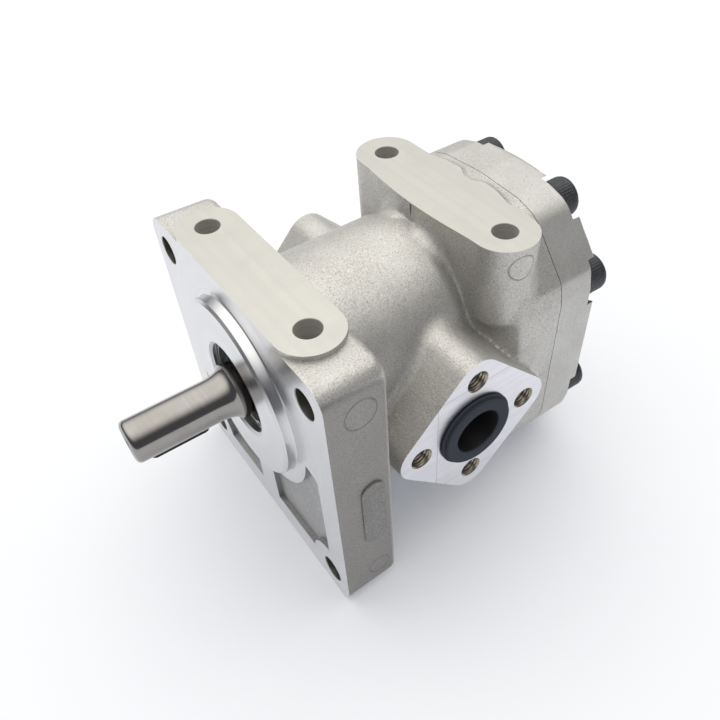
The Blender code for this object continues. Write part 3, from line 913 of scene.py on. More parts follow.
@dataclass(frozen=True)
class CutMetal(Finish):
    """Metal that a cutter has left bright.

    Attributes:
        lay: how the cutter's marks run.
        tone: the metal's colour.
        shade: the colour of its smudges.
        rough: the mean roughness.
        pitch: the spacing of the marks, in mm.
        depth: their depth, in mm.
        scribed: True adds the port face's layout lines.
        metallic: 1 for clean metal, less for a wall dulled by coolant and dust.
        soil: how strong the smudges are.
        banding: how strong the broad bands along the lay are.
    """

    lay: Lay = Lay.SMOOTH
    tone: Colour = (0.80, 0.80, 0.79)
    shade: Colour = (0.68, 0.68, 0.67)
    rough: float = 0.3
    pitch: float = 0.35
    depth: float = 0.006
    scribed: bool = False
    metallic: float = 1.0
    soil: float = 0.6
    banding: float = 0.55

    def shaded(self) -> bpy.types.Material:
        """Cutter marks read across the lay, smudges, and fine scratches."""
        bench = Bench(self.name, Metallic=self.metallic)
        point = bench.place()
        x, y, z = bench.axes(point)
        across = {
            Lay.SHAFT_RINGS: lambda: x.hypot(z) + y,
            Lay.ALONG_X: lambda: y + 0.3 * z,
            Lay.ALONG_Y: lambda: x + z,
            Lay.RISING: lambda: z + 0.0,
            Lay.SMOOTH: lambda: x * 0.2 + y * 0.3 + z,
        }[self.lay]()
        marks = bench.noise(bench.vector(across, 0.0, 0.0), self.pitch, 3.0, 0.6)
        bands = bench.noise(bench.vector(across, 3.7, 0.0), self.pitch * 7, 2.0, 0.5)
        smudge = bench.noise(point, 13.0, 3.0, 0.55)
        haze = bench.noise(point, 0.7, 2.0, 0.6)
        tone = bench.mix(smudge.step(0.44, 0.75) * self.soil, self.tone, self.shade)
        tone = bench.mix(bands.step(0.38, 0.62) * self.banding, tone, self.shade)
        tone = bench.mix(marks.step(0.35, 0.7) * 0.35, tone, self.shade)
        rough = self.rough + 0.08 * self.soil * (smudge - 0.5) + 0.1 * (marks - 0.5) + 0.03 * haze
        height = marks + self.banding * bands if self.lay is not Lay.SMOOTH else haze
        if self.scribed:
            lines = self.scribes(y - SIZES.port_y, z - SIZES.mid_z)
            tone = bench.mix(lines * 0.55, tone, SCRIBE_SHADE)
            height = height - 2.0 * lines
        normal = bench.bump(height, self.depth)
        return bench.finished(Base_Color=tone, Roughness=rough, Normal=normal)

    @staticmethod
    def scribes(across: Wire, up: Wire) -> Wire:
        """Layout lines scratched on the port face, as thin bands of a line's distance.

        Args:
            across: distance from the port's axis along y, in mm.
            up: distance from the port's axis along z, in mm.

        Returns:
            1 on a line, 0 off it.
        """
        total = None
        for slope, offset in ((0.02, 26.4), (-0.03, -29.3)):
            line = 1 - abs(up - slope * across - offset).step(0.05, 0.3)
            total = line if total is None else total.most(line)
        return total.most(1 - abs(across + 20.0).step(0.05, 0.28))


@dataclass(frozen=True)
class BlackOxide(Finish):
    """Blackened, lightly oiled screw steel."""

    tone: Colour = (0.045, 0.048, 0.054)

    def shaded(self) -> bpy.types.Material:
        """A dark oxide skin, mottled, with small painted glints."""
        bench = Bench(self.name, Metallic=0.55, Specular_IOR_Level=0.6)
        point = bench.place()
        mottle = bench.noise(point, 1.6, 4.0, 0.65)
        glint_speck = bench.noise(point, 0.45, 2.0, 0.6)
        tone = bench.mix(mottle.step(0.4, 0.7), self.tone, OXIDE_LIGHT)
        # Painted glints: small bright specks over the oxide.
        tone = bench.mix(glint_speck.step(0.66, 0.76) * 0.5, tone, PAINTED_GLINT_STEEL)
        rough = 0.34 + 0.22 * mottle
        return bench.finished(Base_Color=tone, Roughness=rough, Normal=bench.bump(glint_speck, 0.02))


@dataclass(frozen=True)
class Rubber(Finish):
    """Moulded rubber with a dull bloom."""

    tone: Colour = (0.018, 0.019, 0.021)
    bloom: Colour = (0.05, 0.055, 0.065)

    def shaded(self) -> bpy.types.Material:
        """An even dark tone, a grey bloom in patches and a fine moulded grain."""
        bench = Bench(self.name, Specular_IOR_Level=0.45)
        point = bench.place()
        patch = bench.noise(point, 6.0, 4.0, 0.6)
        grain = bench.noise(point, 0.35, 3.0, 0.6)
        tone = bench.mix(patch.step(0.38, 0.72), self.tone, self.bloom)
        rough = 0.46 + 0.16 * patch + 0.06 * grain
        return bench.finished(Base_Color=tone, Roughness=rough, Normal=bench.bump(grain, 0.025))


PIN_MARKS = (RingMark(14.8, 33.2, 6.9), RingMark(103.0, 43.8, 5.6), RingMark(17.5, -72.0, 5.2))
CAST_BODY = CastSkin(
    "cast_skin_body",
    grain=0.62,
    depth=0.11,
    light=(0.60, 0.59, 0.56),
    dark=(0.53, 0.515, 0.485),
    painted_side_shade=0.66,
    grain_light_and_shade=1.25,
    marks=PIN_MARKS,
)
CAST_COVER = CastSkin("cast_skin_cover", 0.45, 0.035, (0.60, 0.595, 0.575), (0.54, 0.53, 0.505), 0.15)
POCKET_SKIN = CastSkin("cast_skin_pocket", 0.45, 0.03, (0.40, 0.40, 0.405), (0.36, 0.36, 0.365), 0.1)
# A darker copy of the cast skin for the label plate: painted shade of the flange's +X side.
LABEL_SKIN_PAINTED_SHADE = CastSkin(
    "cast_skin_label_painted_shade", 0.6, 0.07, (0.27, 0.262, 0.255), (0.23, 0.222, 0.215), painted_glint=0.1, grain_light_and_shade=0.4
)


def ringed(name: str, tone: Colour, shade: Colour, rough: float, **more: float) -> CutMetal:
    """Metal cut in rings about the drive shaft."""
    return CutMetal(name, Lay.SHAFT_RINGS, tone, shade, rough, **more)


TURNED_FACE = ringed(
    "turned_flange_face", (0.71, 0.715, 0.725), (0.65, 0.655, 0.67), 0.24, pitch=0.4, depth=0.004, soil=0.25
)
SEAL_BORE = ringed("bored_seal_housing", (0.55, 0.55, 0.55), (0.40, 0.40, 0.41), 0.30)
GEAR_CHAMBER = ringed("bored_gear_chamber", (0.62, 0.62, 0.61), (0.5, 0.5, 0.5), 0.28)
SHAFT_END = ringed("faced_shaft_end", (0.30, 0.28, 0.265), (0.22, 0.21, 0.20), 0.34)
SEAL_STEEL = ringed("seal_case_steel", (0.16, 0.16, 0.165), (0.09, 0.09, 0.095), 0.36)
BRONZE = ringed("bearing_bronze", (0.62, 0.40, 0.19), (0.46, 0.29, 0.14), 0.30)
BLOCK_METAL = ringed("bearing_block_metal", (0.72, 0.73, 0.74), (0.6, 0.6, 0.62), 0.30)
MILLED_PAD = CutMetal(
    "milled_pad_top", Lay.ALONG_X, (0.57, 0.562, 0.522), (0.52, 0.515, 0.485), 0.42, pitch=0.6, depth=0.003
)
PORT_FACE = CutMetal(
    "milled_port_face", Lay.ALONG_Y, (0.82, 0.82, 0.85), (0.72, 0.72, 0.76), 0.30, pitch=0.5, scribed=True
)
# Darker than the other milled faces: painted shade for the faces inside the joint between body and cover, so
# the parting line reads dark.
JOINT_FACE_PAINTED_SHADE = CutMetal("milled_joint_face_painted_shade", Lay.ALONG_X, (0.30, 0.30, 0.29), (0.2, 0.2, 0.2), rough=0.42)
KEY_STEEL = CutMetal("drawn_key_steel", Lay.ALONG_Y, (0.05, 0.05, 0.05), (0.035, 0.035, 0.035), 0.42)
GROUND_STEEL = CutMetal(
    "ground_shaft_steel",
    Lay.ALONG_X,
    tone=(0.36, 0.345, 0.33),
    shade=(0.24, 0.225, 0.21),
    rough=0.13,
    pitch=0.3,
    depth=0.003,
    soil=0.3,
    banding=0.12,
)
PAD_HOLE = CutMetal(
    "reamed_pad_hole", Lay.RISING, (0.66, 0.65, 0.61), (0.48, 0.47, 0.44), 0.45, 0.5, 0.02, metallic=0.25
)
# Darker than the other cut faces: painted shade inside the drilled holes and the screw seats.
DRILLED_PAINTED_SHADE = CutMetal("drilled_hole_wall_painted_shade", Lay.SMOOTH, (0.34, 0.33, 0.30), (0.24, 0.23, 0.21), 0.38, 0.4, 0.02)
# Darker than the port face round it: painted shade inside the threaded holes.
TAPPED_PAINTED_SHADE = CutMetal("tapped_hole_wall_painted_shade", Lay.SMOOTH, (0.42, 0.375, 0.31), (0.28, 0.24, 0.19), 0.30, 0.4, 0.012)
SPRING_STEEL = CutMetal("spring_ring_steel", Lay.SMOOTH, (0.72, 0.72, 0.71), (0.5, 0.5, 0.5), 0.24)
SCREW_BLACK = BlackOxide("black_oxide_screw")
SEAL_RUBBER = Rubber("seal_rubber")
PLUG_RUBBER = Rubber("plug_rubber", (0.030, 0.036, 0.048), (0.055, 0.065, 0.086))
# A darker copy of the plug rubber for the cup's inside: painted shade in the mouth.
PLUG_SHADED_INSIDE = Rubber("plug_rubber_inside_painted_shade", (0.004, 0.004, 0.005), (0.007, 0.007, 0.009))


def fitted(piece: bpy.types.Object, body: str, slot: str, *nodes: str) -> None:
    """Shades a finished piece and gives it to the frame.

    Args:
        piece: the piece.
        body: the CAD body that it rides on.
        slot: the record's material slot; not used.
        nodes: the CAD nodes that it stands for.
    """
    smoothed(piece)
    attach(piece, body)
    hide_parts(*nodes)
    LOG.info("%s: %d faces, for %s", piece.name, len(piece.data.polygons), ", ".join(nodes))


# ------------------------------------------------------------------ the castings


def rim_outline() -> Array:
    """The eight-sided outline that the body's rear rim and the cover share, in (x, z)."""
    low = SIZES.mid_z - SIZES.flange_half
    right = [(23.5, 50.6), (34.5, 47.4), (54.0, 23.8), (56.0, 14.0)]
    right += [(56.0, -52.8), (54.0, -62.6), (34.5, -86.8), (29.0, low)]
    corners = [(0.0, 52.2)] + right + [(-x, z) for x, z in reversed(right)]
    radii = [60.0, 12.0, 14.0, 9.0, 12.0, 12.0, 9.0, 6.0, 4.0]
    return rounded(corners, radii + radii[:0:-1], 5)


def thread_wave(along: Array, angle: Array, pitch: float) -> Array:
    """A screw thread's height from 0 to 1, as a triangle wave: |2 (t / pitch - a / 2 pi mod 1) - 1|."""
    return np.abs(2 * ((along / pitch - angle / (2 * np.pi)) % 1) - 1)


def tapped_hole(side: float, centre: Pair, face: float, drill: float, depth: float) -> Shell:
    """A threaded blind hole cut from a face along X.

    The wall is r(a, t) = drill + ridge * thread wave, opened to a cone at the mouth, with a drill point at
    the bottom.

    Args:
        side: 1 for a hole cut from the +X side, -1 for the -X side.
        centre: the hole's axis in (y, z).
        face: the face's distance from x = 0.
        drill: the drilled radius.
        depth: how deep the wall goes.

    Returns:
        The cutter.
    """
    sides, pitch, ridge, past, point = 40, 1.5, 0.62, 1.0, 2.5
    mouth = drill + 1.15
    along = np.concatenate([[-past], np.arange(0.0, depth, pitch / 5), [depth]])[:, None]
    angle = 2 * np.pi * np.arange(sides)[None] / sides
    wave = thread_wave(along, angle, pitch) * (along < depth - 2)
    radius = np.maximum(drill + ridge * wave, np.clip(mouth - along, 0, mouth))
    rows = Axis.X.ring(centre, radius, angle, side * (face - along))
    return lattice(rows, None, Axis.X.poles(centre, side * (face + past), side * (face - depth - point)))


@dataclass
class BodyCasting:
    """The pump body: square flange, twin-bore barrel, side port bosses, pads and the rear rim."""

    pitch: float = 1.35
    barrel_r: float = 44.0
    valley: float = 5.0
    corner_r: float = 9.0
    thick: float = 28.0
    pocket: float = 2.5
    label: Triple = (69.95, 17.0, 5.6)
    label_z: Pair = (-44.4, -14.6)
    pad_z: float = 52.5
    pad_end: float = 39.6
    pad_r: float = 14.0
    pad_y: Pair = (13.96, 105.2)
    pilot_r: float = 41.275
    screw_circle: float = 28.28
    screw_drill: float = 4.25
    screw_depth: float = 18.0
    port_sharp: float = 44.0
    port_corner_r: float = 11.6
    port_bore: float = 13.0
    flange_hole: float = 6.25
    pad_hole: float = 5.4
    pad_hole_depth: float = 20.0
    tapped_depth: float = 21.0
    stock: float = 130.0
    rim: Array = field(default_factory=rim_outline)

    def port_outline(self) -> Array:
        """A port face in (y, z): a square stood on its corner, well rounded."""
        sharp = self.port_sharp
        corners = [(sharp, 0.0), (0.0, sharp), (-sharp, 0.0), (0.0, -sharp)]
        return rounded(corners, [self.port_corner_r] * 4, 10) + np.array([SIZES.port_y, SIZES.mid_z])

    def pocket_outline(self) -> Array:
        """The flange face's right lightening pocket, in (x, z)."""
        half = SIZES.hole_square / 2
        inner = arc((0.0, 0.0), 48.0, -80.4, -8.6, 40)
        corner = arc((half, SIZES.mid_z - half), 15.0, 92.0, 176.0, 16)
        return np.vstack([inner, [(54.0, -8.6), (56.0, -10.6)], corner, [(8.0, -75.0)]])

    def pad_ends(self, y: float, steps: int) -> Array:
        """A pad's two round ends in (x, y), the right one first.

        Args:
            y: the pad's middle line.
            steps: chords in each end.

        Returns:
            The outline's points in order.
        """
        right = arc((self.pad_end, y), self.pad_r, -90, 90, steps)
        left = arc((-self.pad_end, y), self.pad_r, 90, 270, steps)
        return np.vstack([right, left])

    def pad_outline(self) -> Array:
        """The rear pad in (x, y), with the slight bow of its front edge."""
        x = np.linspace(-34, 34, 15)
        bow = np.stack([x, self.pad_y[1] - self.pad_r - 2.5 * np.cos(x / 36 * np.pi / 2)], axis=1)
        return np.vstack([self.pad_ends(self.pad_y[1], 24), bow])

    def solid(self, x: Array, y: Array, z: Array) -> Array:
        """The raw casting as a distance field: flange, barrel swelling to the rim, bosses and pads.

        Args:
            x, y, z: points in drawing mm, of shapes that broadcast.

        Returns:
            Distance outside the casting, negative inside.
        """
        level = z - SIZES.mid_z
        half = SIZES.flange_half - 0.45
        draft = np.maximum(y, 0)
        width = np.abs(x) + 0.022 * draft
        flange = plate_distance(width, level, half, SIZES.flange_half - 0.2, self.corner_r)
        flange = meet(flange + 0.012 * draft, np.abs(y - 10.0) - (self.thick - 10.0), 4.2)
        barrel = bar_distance(z, x, -SIZES.centre_distance, 0.0, self.barrel_r)
        rim = outline_distance(self.rim, x, z)
        barrel = barrel + self.valley * ramp(y, 82.5, 92.5) * ramp(np.abs(x), 14.0, 30.0)
        swell = ramp(y, 91.5, 105.5)
        barrel = np.maximum((1 - swell) * barrel + swell * rim, 14.0 - y)
        body = join(flange, barrel, 4.0)
        boss = outline_distance(self.port_outline(), y, z) - 0.05 * (SIZES.port_x - np.abs(x))
        boss = np.maximum(boss, np.abs(x) - SIZES.port_x - 3)
        body = join(body, boss, 3.5)
        pad = outline_distance(self.pad_outline(), x, y)
        fade = 0.6 * np.maximum(15.0 - z, 0) + 0.01 * (self.pad_z - z)
        column = meet(pad + fade, z - self.pad_z - 4, 0.5)
        fillet = 1.0 + 5.5 * ramp(np.abs(x), 1.5, 9.0) - 3.5 * ramp(np.abs(x), 15.0, 28.0)
        body = join(body, column, fillet)
        body = np.maximum(body, SIZES.mid_z - SIZES.flange_half - z)
        return np.maximum(body, np.abs(y - 60.0) - 68.4)

    def nose(self) -> Shell:
        """The lathe work in front: flange face, spigot with its undercut, seal bore and ring groove."""
        bore, end, r = SIZES.seal_bore, SIZES.seal_bore_end, self.pilot_r
        front = -SIZES.pilot_height
        groove, neck, ahead, reach, behind = 22.1, 13.3, -30, 115, 21
        face = [(0, ahead), (reach, ahead), (reach, 0), (44.3, 0)]
        face += [(43.9, 0.3), (42.3, 0.3), (41.6, 0.1), (r, -0.5)]
        spigot = [(r, front + 1.1), (r - 1.1, front), (bore + 1.3, front), (bore, front + 1.0)]
        seat = [(bore, -2.3), (groove, -2.3), (groove, -0.2), (bore, -0.2), (bore, end)]
        seat += [(neck, end), (neck, behind), (0, behind)]
        profile = face + spigot + seat
        slots = [0] * (len(face) + len(spigot) - 2) + [1] * (len(seat) + 1)
        return turned(profile, Axis.Y, sides=180, slots=slots)

    def flange_hole_cutter(self, centre: Pair) -> Shell:
        """One of the four fixing holes, with a small lead at the face.

        Args:
            centre: the hole's axis in (x, z).

        Returns:
            The cutter.
        """
        wall, lead, before, behind = self.flange_hole, 0.3, -3, 40
        mouth = [(0, before), (wall + lead, before), (wall + lead, 0.0)]
        return turned(mouth + [(wall, lead), (wall, behind), (0, behind)], Axis.Y, centre, 48)

    def pad_hole_cutter(self, centre: Pair) -> Shell:
        """One of the four blind holes in the pads, with a small lead and a drill point.

        Args:
            centre: the hole's axis in (x, y).

        Returns:
            The cutter.
        """
        wall, lead, top = self.pad_hole, 0.2, self.pad_z
        foot = top - self.pad_hole_depth
        profile = [(0, top + 3), (wall + lead, top + 3), (wall + lead, top), (wall, top - lead), (wall, foot)]
        return turned(profile + [(0, foot - 2.8)], Axis.Z, centre, 48)

    def drillings(self) -> list[tuple[Shell, Finish]]:
        """The plain and tapped holes, each kind with its finish."""
        half, ring = SIZES.hole_square / 2, self.screw_circle
        holes, sockets, threads = [], [], []
        for side in (1, -1):
            for z in (SIZES.mid_z + half, SIZES.mid_z - half):
                holes.append(self.flange_hole_cutter((side * half, z)))
            for y in self.pad_y:
                sockets.append(self.pad_hole_cutter((side * self.pad_end, y)))
            for y, z in ((1, 0), (0, 1), (-1, 0), (0, -1)):
                centre = (SIZES.port_y + y * ring, SIZES.mid_z + z * ring)
                threads.append(tapped_hole(side, centre, SIZES.port_x, self.screw_drill, self.screw_depth))
        kinds = ((holes, DRILLED_PAINTED_SHADE), (sockets, PAD_HOLE), (threads, TAPPED_PAINTED_SHADE))
        return [(shells[0].joined(*shells[1:]), finish) for shells, finish in kinds]

    def port_cutter(self, side: float) -> Shell:
        """A port's seat for the plug and its passage to the gears.

        Args:
            side: 1 for the +X port, -1 for the -X port.

        Returns:
            The cutter.
        """
        face, wall, bore = SIZES.port_x, SIZES.port_seat_r, self.port_bore
        foot = face - SIZES.port_seat_depth
        seat = [(0, face + 2), (wall + 0.6, face + 2), (wall + 0.6, face), (wall, face - 0.6), (wall, foot)]
        seat += [(bore, foot), (bore, 9.0), (0, 9.0)]
        profile = [(radius, side * at) for radius, at in seat]
        return turned(profile, Axis.X, (SIZES.port_y, SIZES.mid_z), 96)

    def gear_chamber(self) -> Shell:
        """The two overlapping bores that hold the gears and their bearing blocks."""
        radius, apart = SIZES.chamber_r, SIZES.centre_distance
        dip = math.degrees(math.asin(apart / 2 / radius))
        upper = arc((0, 0), radius, -dip, 180 + dip, 60)[:-1]
        lower = arc((0, -apart), radius, 180 - dip, 360 + dip, 60)[:-1]
        return prism(np.vstack([upper, lower]), Axis.Y, SIZES.cavity_front, SIZES.parting_y + 2)

    def faces(self) -> list[tuple[Shell, Finish]]:
        """The planes and bores cut before the holes, each with its finish."""
        x, face, parting = self.stock, SIZES.port_x, SIZES.parting_y
        milled = box((-60, -8, self.pad_z), (60, parting - 4, 80))
        sides = box((face, 31, -85), (x, 125, 50)).joined(box((-x, 31, -85), (-face, 125, 50)))
        joint = box((-x, parting, -x), (x, 170, 90))
        wall, start = SIZES.screw_r + SIZES.gap, parting + 2
        foot, tip = parting - self.tapped_depth, parting - self.tapped_depth - 3
        holes = [drilled(at, wall, start, foot, tip, 32) for at in SIZES.screw_places()]
        foot = parting - SIZES.dowel_depth
        for at in (SIZES.dowel_x, -SIZES.dowel_x):
            holes.append(drilled((at, SIZES.mid_z), SIZES.dowel_bore, start, foot, foot, 24))
        cuts = [(milled, MILLED_PAD), (sides, PORT_FACE), (joint, JOINT_FACE_PAINTED_SHADE)]
        cuts.append((self.gear_chamber(), GEAR_CHAMBER))
        cuts.append((self.port_cutter(1).joined(self.port_cutter(-1)), SEAL_BORE))
        cuts.append((holes[0].joined(*holes[1:]), DRILLED_PAINTED_SHADE))
        return cuts

    def seal_groove(self) -> Shell:
        """The cover seal's groove: a band between two obrounds round the bores."""
        inner, outer, floor, past = 26, 29, SIZES.parting_y - 2.2, 128
        angle = np.radians(np.linspace(0, 360, 96, endpoint=False) + 0.4)
        centre = np.where(np.sin(angle) < 0, -SIZES.centre_distance, 0.0)
        corners = ((inner, floor), (outer, floor), (outer, past), (inner, past))
        rows = [Axis.Y.place(r * np.cos(angle), centre + r * np.sin(angle), y) for r, y in corners]
        return lattice(np.array(rows))

    def pockets(self) -> Shell:
        """The two shallow lightening pockets of the flange face."""
        outline = self.pocket_outline()
        left = prism(outline * np.array([-1.0, 1.0]), Axis.Y, -8.0, self.pocket)
        return prism(outline, Axis.Y, -8.0, self.pocket).joined(left)

    def front_pad(self) -> Shell:
        """The front pad: a bar with round ends, stood on the flange and reaching past the milled height."""
        return prism(self.pad_ends(self.pad_y[0], 48), Axis.Z, 40.0, self.pad_z + 2.0)

    def label_plate(self) -> Shell:
        """The raised plate on the flange's +X side: a bar with round ends and a small bevel."""
        top, y, radius = self.label
        root, bevel = 60.0, 0.3
        rows = []
        for x, inset in ((root, 0.0), (top - bevel, 0.0), (top, bevel)):
            upper = arc((y, self.label_z[1]), radius - inset, 0, 180, 24)
            lower = arc((y, self.label_z[0]), radius - inset, 180, 360, 24)
            ring = np.vstack([upper, lower])
            rows.append(Axis.X.place(ring[:, 0], ring[:, 1], x))
        middle = (self.label_z[0] + self.label_z[1]) / 2
        return lattice(np.array(rows), None, Axis.X.poles((y, middle), root, top))

    def crack(self) -> Shell:
        """The V-shaped gap that the mould's joint leaves under the rear pad's front edge."""
        outline = np.array([(-0.85, 51.8), (0.0, 44.9), (0.75, 51.8)])
        return prism(outline, Axis.Y, 82.0, 89.5)

    def build(self) -> bpy.types.Object:
        """Casts the body, then machines it."""
        cast = skin(self.solid, (-73, -11, -93), (73, 130, 60), self.pitch)
        body = cast.made("body_casting", [CAST_BODY])
        front_pad = self.front_pad().made("front_pad", [CAST_BODY])
        label_plate = self.label_plate().made("label_plate", [LABEL_SKIN_PAINTED_SHADE])
        machined(body, [front_pad, label_plate], union=True)
        cuts = self.faces() + self.drillings()
        cuts += [(self.seal_groove(), JOINT_FACE_PAINTED_SHADE), (self.crack(), CAST_BODY), (self.pockets(), POCKET_SKIN)]
        tools = [self.nose().made("nose", [TURNED_FACE, SEAL_BORE])]
        tools += [shell.made(f"cut_{number}", [finish]) for number, (shell, finish) in enumerate(cuts)]
        machined(body, tools)
        return body

    def dress(self) -> None:
        """Builds the body and hands it to the frame."""
        fitted(self.build(), "housing", "cast_aluminium", "pump_body")


@dataclass
class RearCover:
    """The cover plate with its eight open screw seats."""

    pitch: float = 1.2
    middle_y: float = 134.0
    edge_r: float = 1.0
    outward_deg: Pair = (45.0, 24.0)
    clearance_r: float = 6.6
    joint_gap: float = 0.28
    past: float = 155.0
    rim: Array = field(default_factory=rim_outline)

    def solid(self, x: Array, y: Array, z: Array) -> Array:
        """The raw cover: the rim outline, drawn in slightly to the rear, with a round rear edge."""
        side = outline_distance(self.rim, x, z) + 0.008 * np.maximum(y - SIZES.parting_y, 0)
        return meet(side, np.abs(y - self.middle_y) - (SIZES.cover_rear - self.middle_y), self.edge_r)

    def opening(self, centre: Pair) -> Shell:
        """The way out of a screw seat: a slot as wide as the seat, run straight out to the nearest edge.

        Args:
            centre: the screw's axis in (x, z).

        Returns:
            The cutter.
        """
        way = math.radians(self.outward_deg[0] if abs(centre[0]) < 30 else self.outward_deg[1])
        sign = np.array([math.copysign(1, centre[0]), math.copysign(1, centre[1] - SIZES.mid_z)])
        out = np.array([math.cos(way), math.sin(way)]) * sign
        side = np.array([-out[1], out[0]]) * (SIZES.seat_r - 0.4)
        middle, away = np.array(centre), 26 * out
        outline = np.array([middle - side, middle - side + away, middle + side + away, middle + side])
        return prism(outline, Axis.Y, SIZES.seat_y + 0.02, self.past)

    def seat(self, centre: Pair) -> Shell:
        """A screw's flat seat and the clearance hole through it.

        Args:
            centre: the screw's axis in (x, z).

        Returns:
            The cutter.
        """
        wall, floor, hole = SIZES.seat_r, SIZES.seat_y, self.clearance_r
        profile = [(0, self.past), (wall, self.past), (wall, floor + 0.5), (wall - 0.5, floor)]
        profile += [(hole + 0.3, floor), (hole, floor - 0.3), (hole, 110), (0, 110)]
        return turned(profile, Axis.Y, centre, 72)

    def build(self) -> bpy.types.Object:
        """Casts the cover, faces its joint and cuts its seats."""
        front = SIZES.parting_y + self.joint_gap
        cast = skin(self.solid, (-60, 116, -93), (60, 151, 56), self.pitch)
        cover = cast.made("rear_cover_casting", [CAST_COVER])
        seats = []
        for centre in SIZES.screw_places():
            seats += [self.seat(centre), self.opening(centre)]
        foot = front + SIZES.dowel_depth
        for x in (SIZES.dowel_x, -SIZES.dowel_x):
            seats.append(drilled((x, SIZES.mid_z), SIZES.dowel_bore, 120, foot, foot, 24))
        tools = [box((-90, 100, -120), (90, front, 80)).made("joint", [JOINT_FACE_PAINTED_SHADE])]
        tools += [seat.made(f"seat_{number}", [DRILLED_PAINTED_SHADE]) for number, seat in enumerate(seats)]
        machined(cover, tools)
        return cover

    def dress(self) -> None:
        """Builds the cover and hands it to the frame."""
        fitted(self.build(), "housing", "cast_aluminium", "rear_cover")


@dataclass
class CoverScrews:
    """Eight socket head cap screws with knurled heads."""

    head_r: float = 9.0
    head_h: float = 12.0
    length: float = 35.0
    across_flats: float = 10.0
    socket: float = 6.0
    knurls: int = 42
    groove: float = 0.2
    pitch: float = 1.75
    turn: float = 17.0

    def head(self, centre: Pair, under: float) -> Shell:
        """The head: r(a, y) = R - groove * (1 - |sin(n a / 2)|) on the knurled band, plain at both ends.

        Args:
            centre: the screw's axis in (x, z).
            under: where the head starts along y.

        Returns:
            The closed head.
        """
        sides = self.knurls * 6
        angle = 2 * np.pi * np.arange(sides) / sides
        ridge = 1 - np.abs(np.sin(self.knurls * angle / 2))
        top = under + self.head_h
        rows = []
        full = self.head_r
        profile = [(full - 0.35, under, 0), (full, under + 0.35, 0.35), (full, under + 0.7, 1)]
        profile += [(full, top - 3.0, 1), (full, top - 2.7, 0.3), (full, top - 1.5, 0.0)]
        profile += [(full - 0.25, top - 0.7, 0), (full - 0.9, top - 0.15, 0), (full - 1.5, top, 0)]
        for radius, y, share in profile:
            rows.append(Axis.Y.ring(centre, radius - self.groove * share * ridge, angle, y))
        return lattice(np.array(rows), None, Axis.Y.poles(centre, under, top))

    def shank(self, centre: Pair, under: float) -> Shell:
        """The threaded shank: r(a, y) = R - thread wave, with a plain stretch under the head.

        Args:
            centre: the screw's axis in (x, z).
            under: where the head starts along y.

        Returns:
            The closed shank.
        """
        sides, low, high, radius = 32, under - self.length, under + 1.0, SIZES.screw_r
        angle = 2 * np.pi * np.arange(sides)[None] / sides
        y = np.arange(low + 0.1, under - 9.0, self.pitch / 4)[:, None]
        wall = np.minimum(radius - 1.0 * thread_wave(y, angle, self.pitch), radius - 1.0 + (y - low))
        thread = Axis.Y.ring(centre, wall, angle, y)
        plain = [Axis.Y.ring(centre, radius - 0.1, angle[0], at) for at in (under - 8.4, high)]
        return lattice(np.concatenate([thread, np.array(plain)]), None, Axis.Y.poles(centre, low, high))

    def socket_cutters(self, centre: Pair, top: float, turn: float) -> list[bpy.types.Object]:
        """The hexagon socket, turned by some degrees, and the cone that leads into it.

        Args:
            centre: the screw's axis in (x, z).
            top: where the head ends along y.
            turn: the socket's turn in degrees.

        Returns:
            The two cutters.
        """
        hexagon = arc(centre, self.across_flats / math.sqrt(3), turn, turn + 300, 5)
        socket = prism(hexagon, Axis.Y, top - self.socket, top + 2)
        lead = turned([(0, top + 2), (7.4, top + 2), (5.3, top - 0.3), (0, top - 0.3)], Axis.Y, centre, 48)
        return [socket.made("socket", [SCREW_BLACK]), lead.made("lead", [SCREW_BLACK])]

    def dress(self) -> None:
        """Makes each screw and hands it to the frame."""
        under = SIZES.seat_y + SIZES.gap
        for number, centre in enumerate(SIZES.screw_places(), 1):
            screw = self.head(centre, under).made(f"cap_screw_{number}", [SCREW_BLACK])
            machined(screw, [self.shank(centre, under).made("shank", [SCREW_BLACK])], union=True)
            machined(screw, self.socket_cutters(centre, under + self.head_h, self.turn * number))
            fitted(screw, "housing", "black_oxide", f"cover_bolt_{number}")


# ------------------------------------------------------------------ the turning pieces


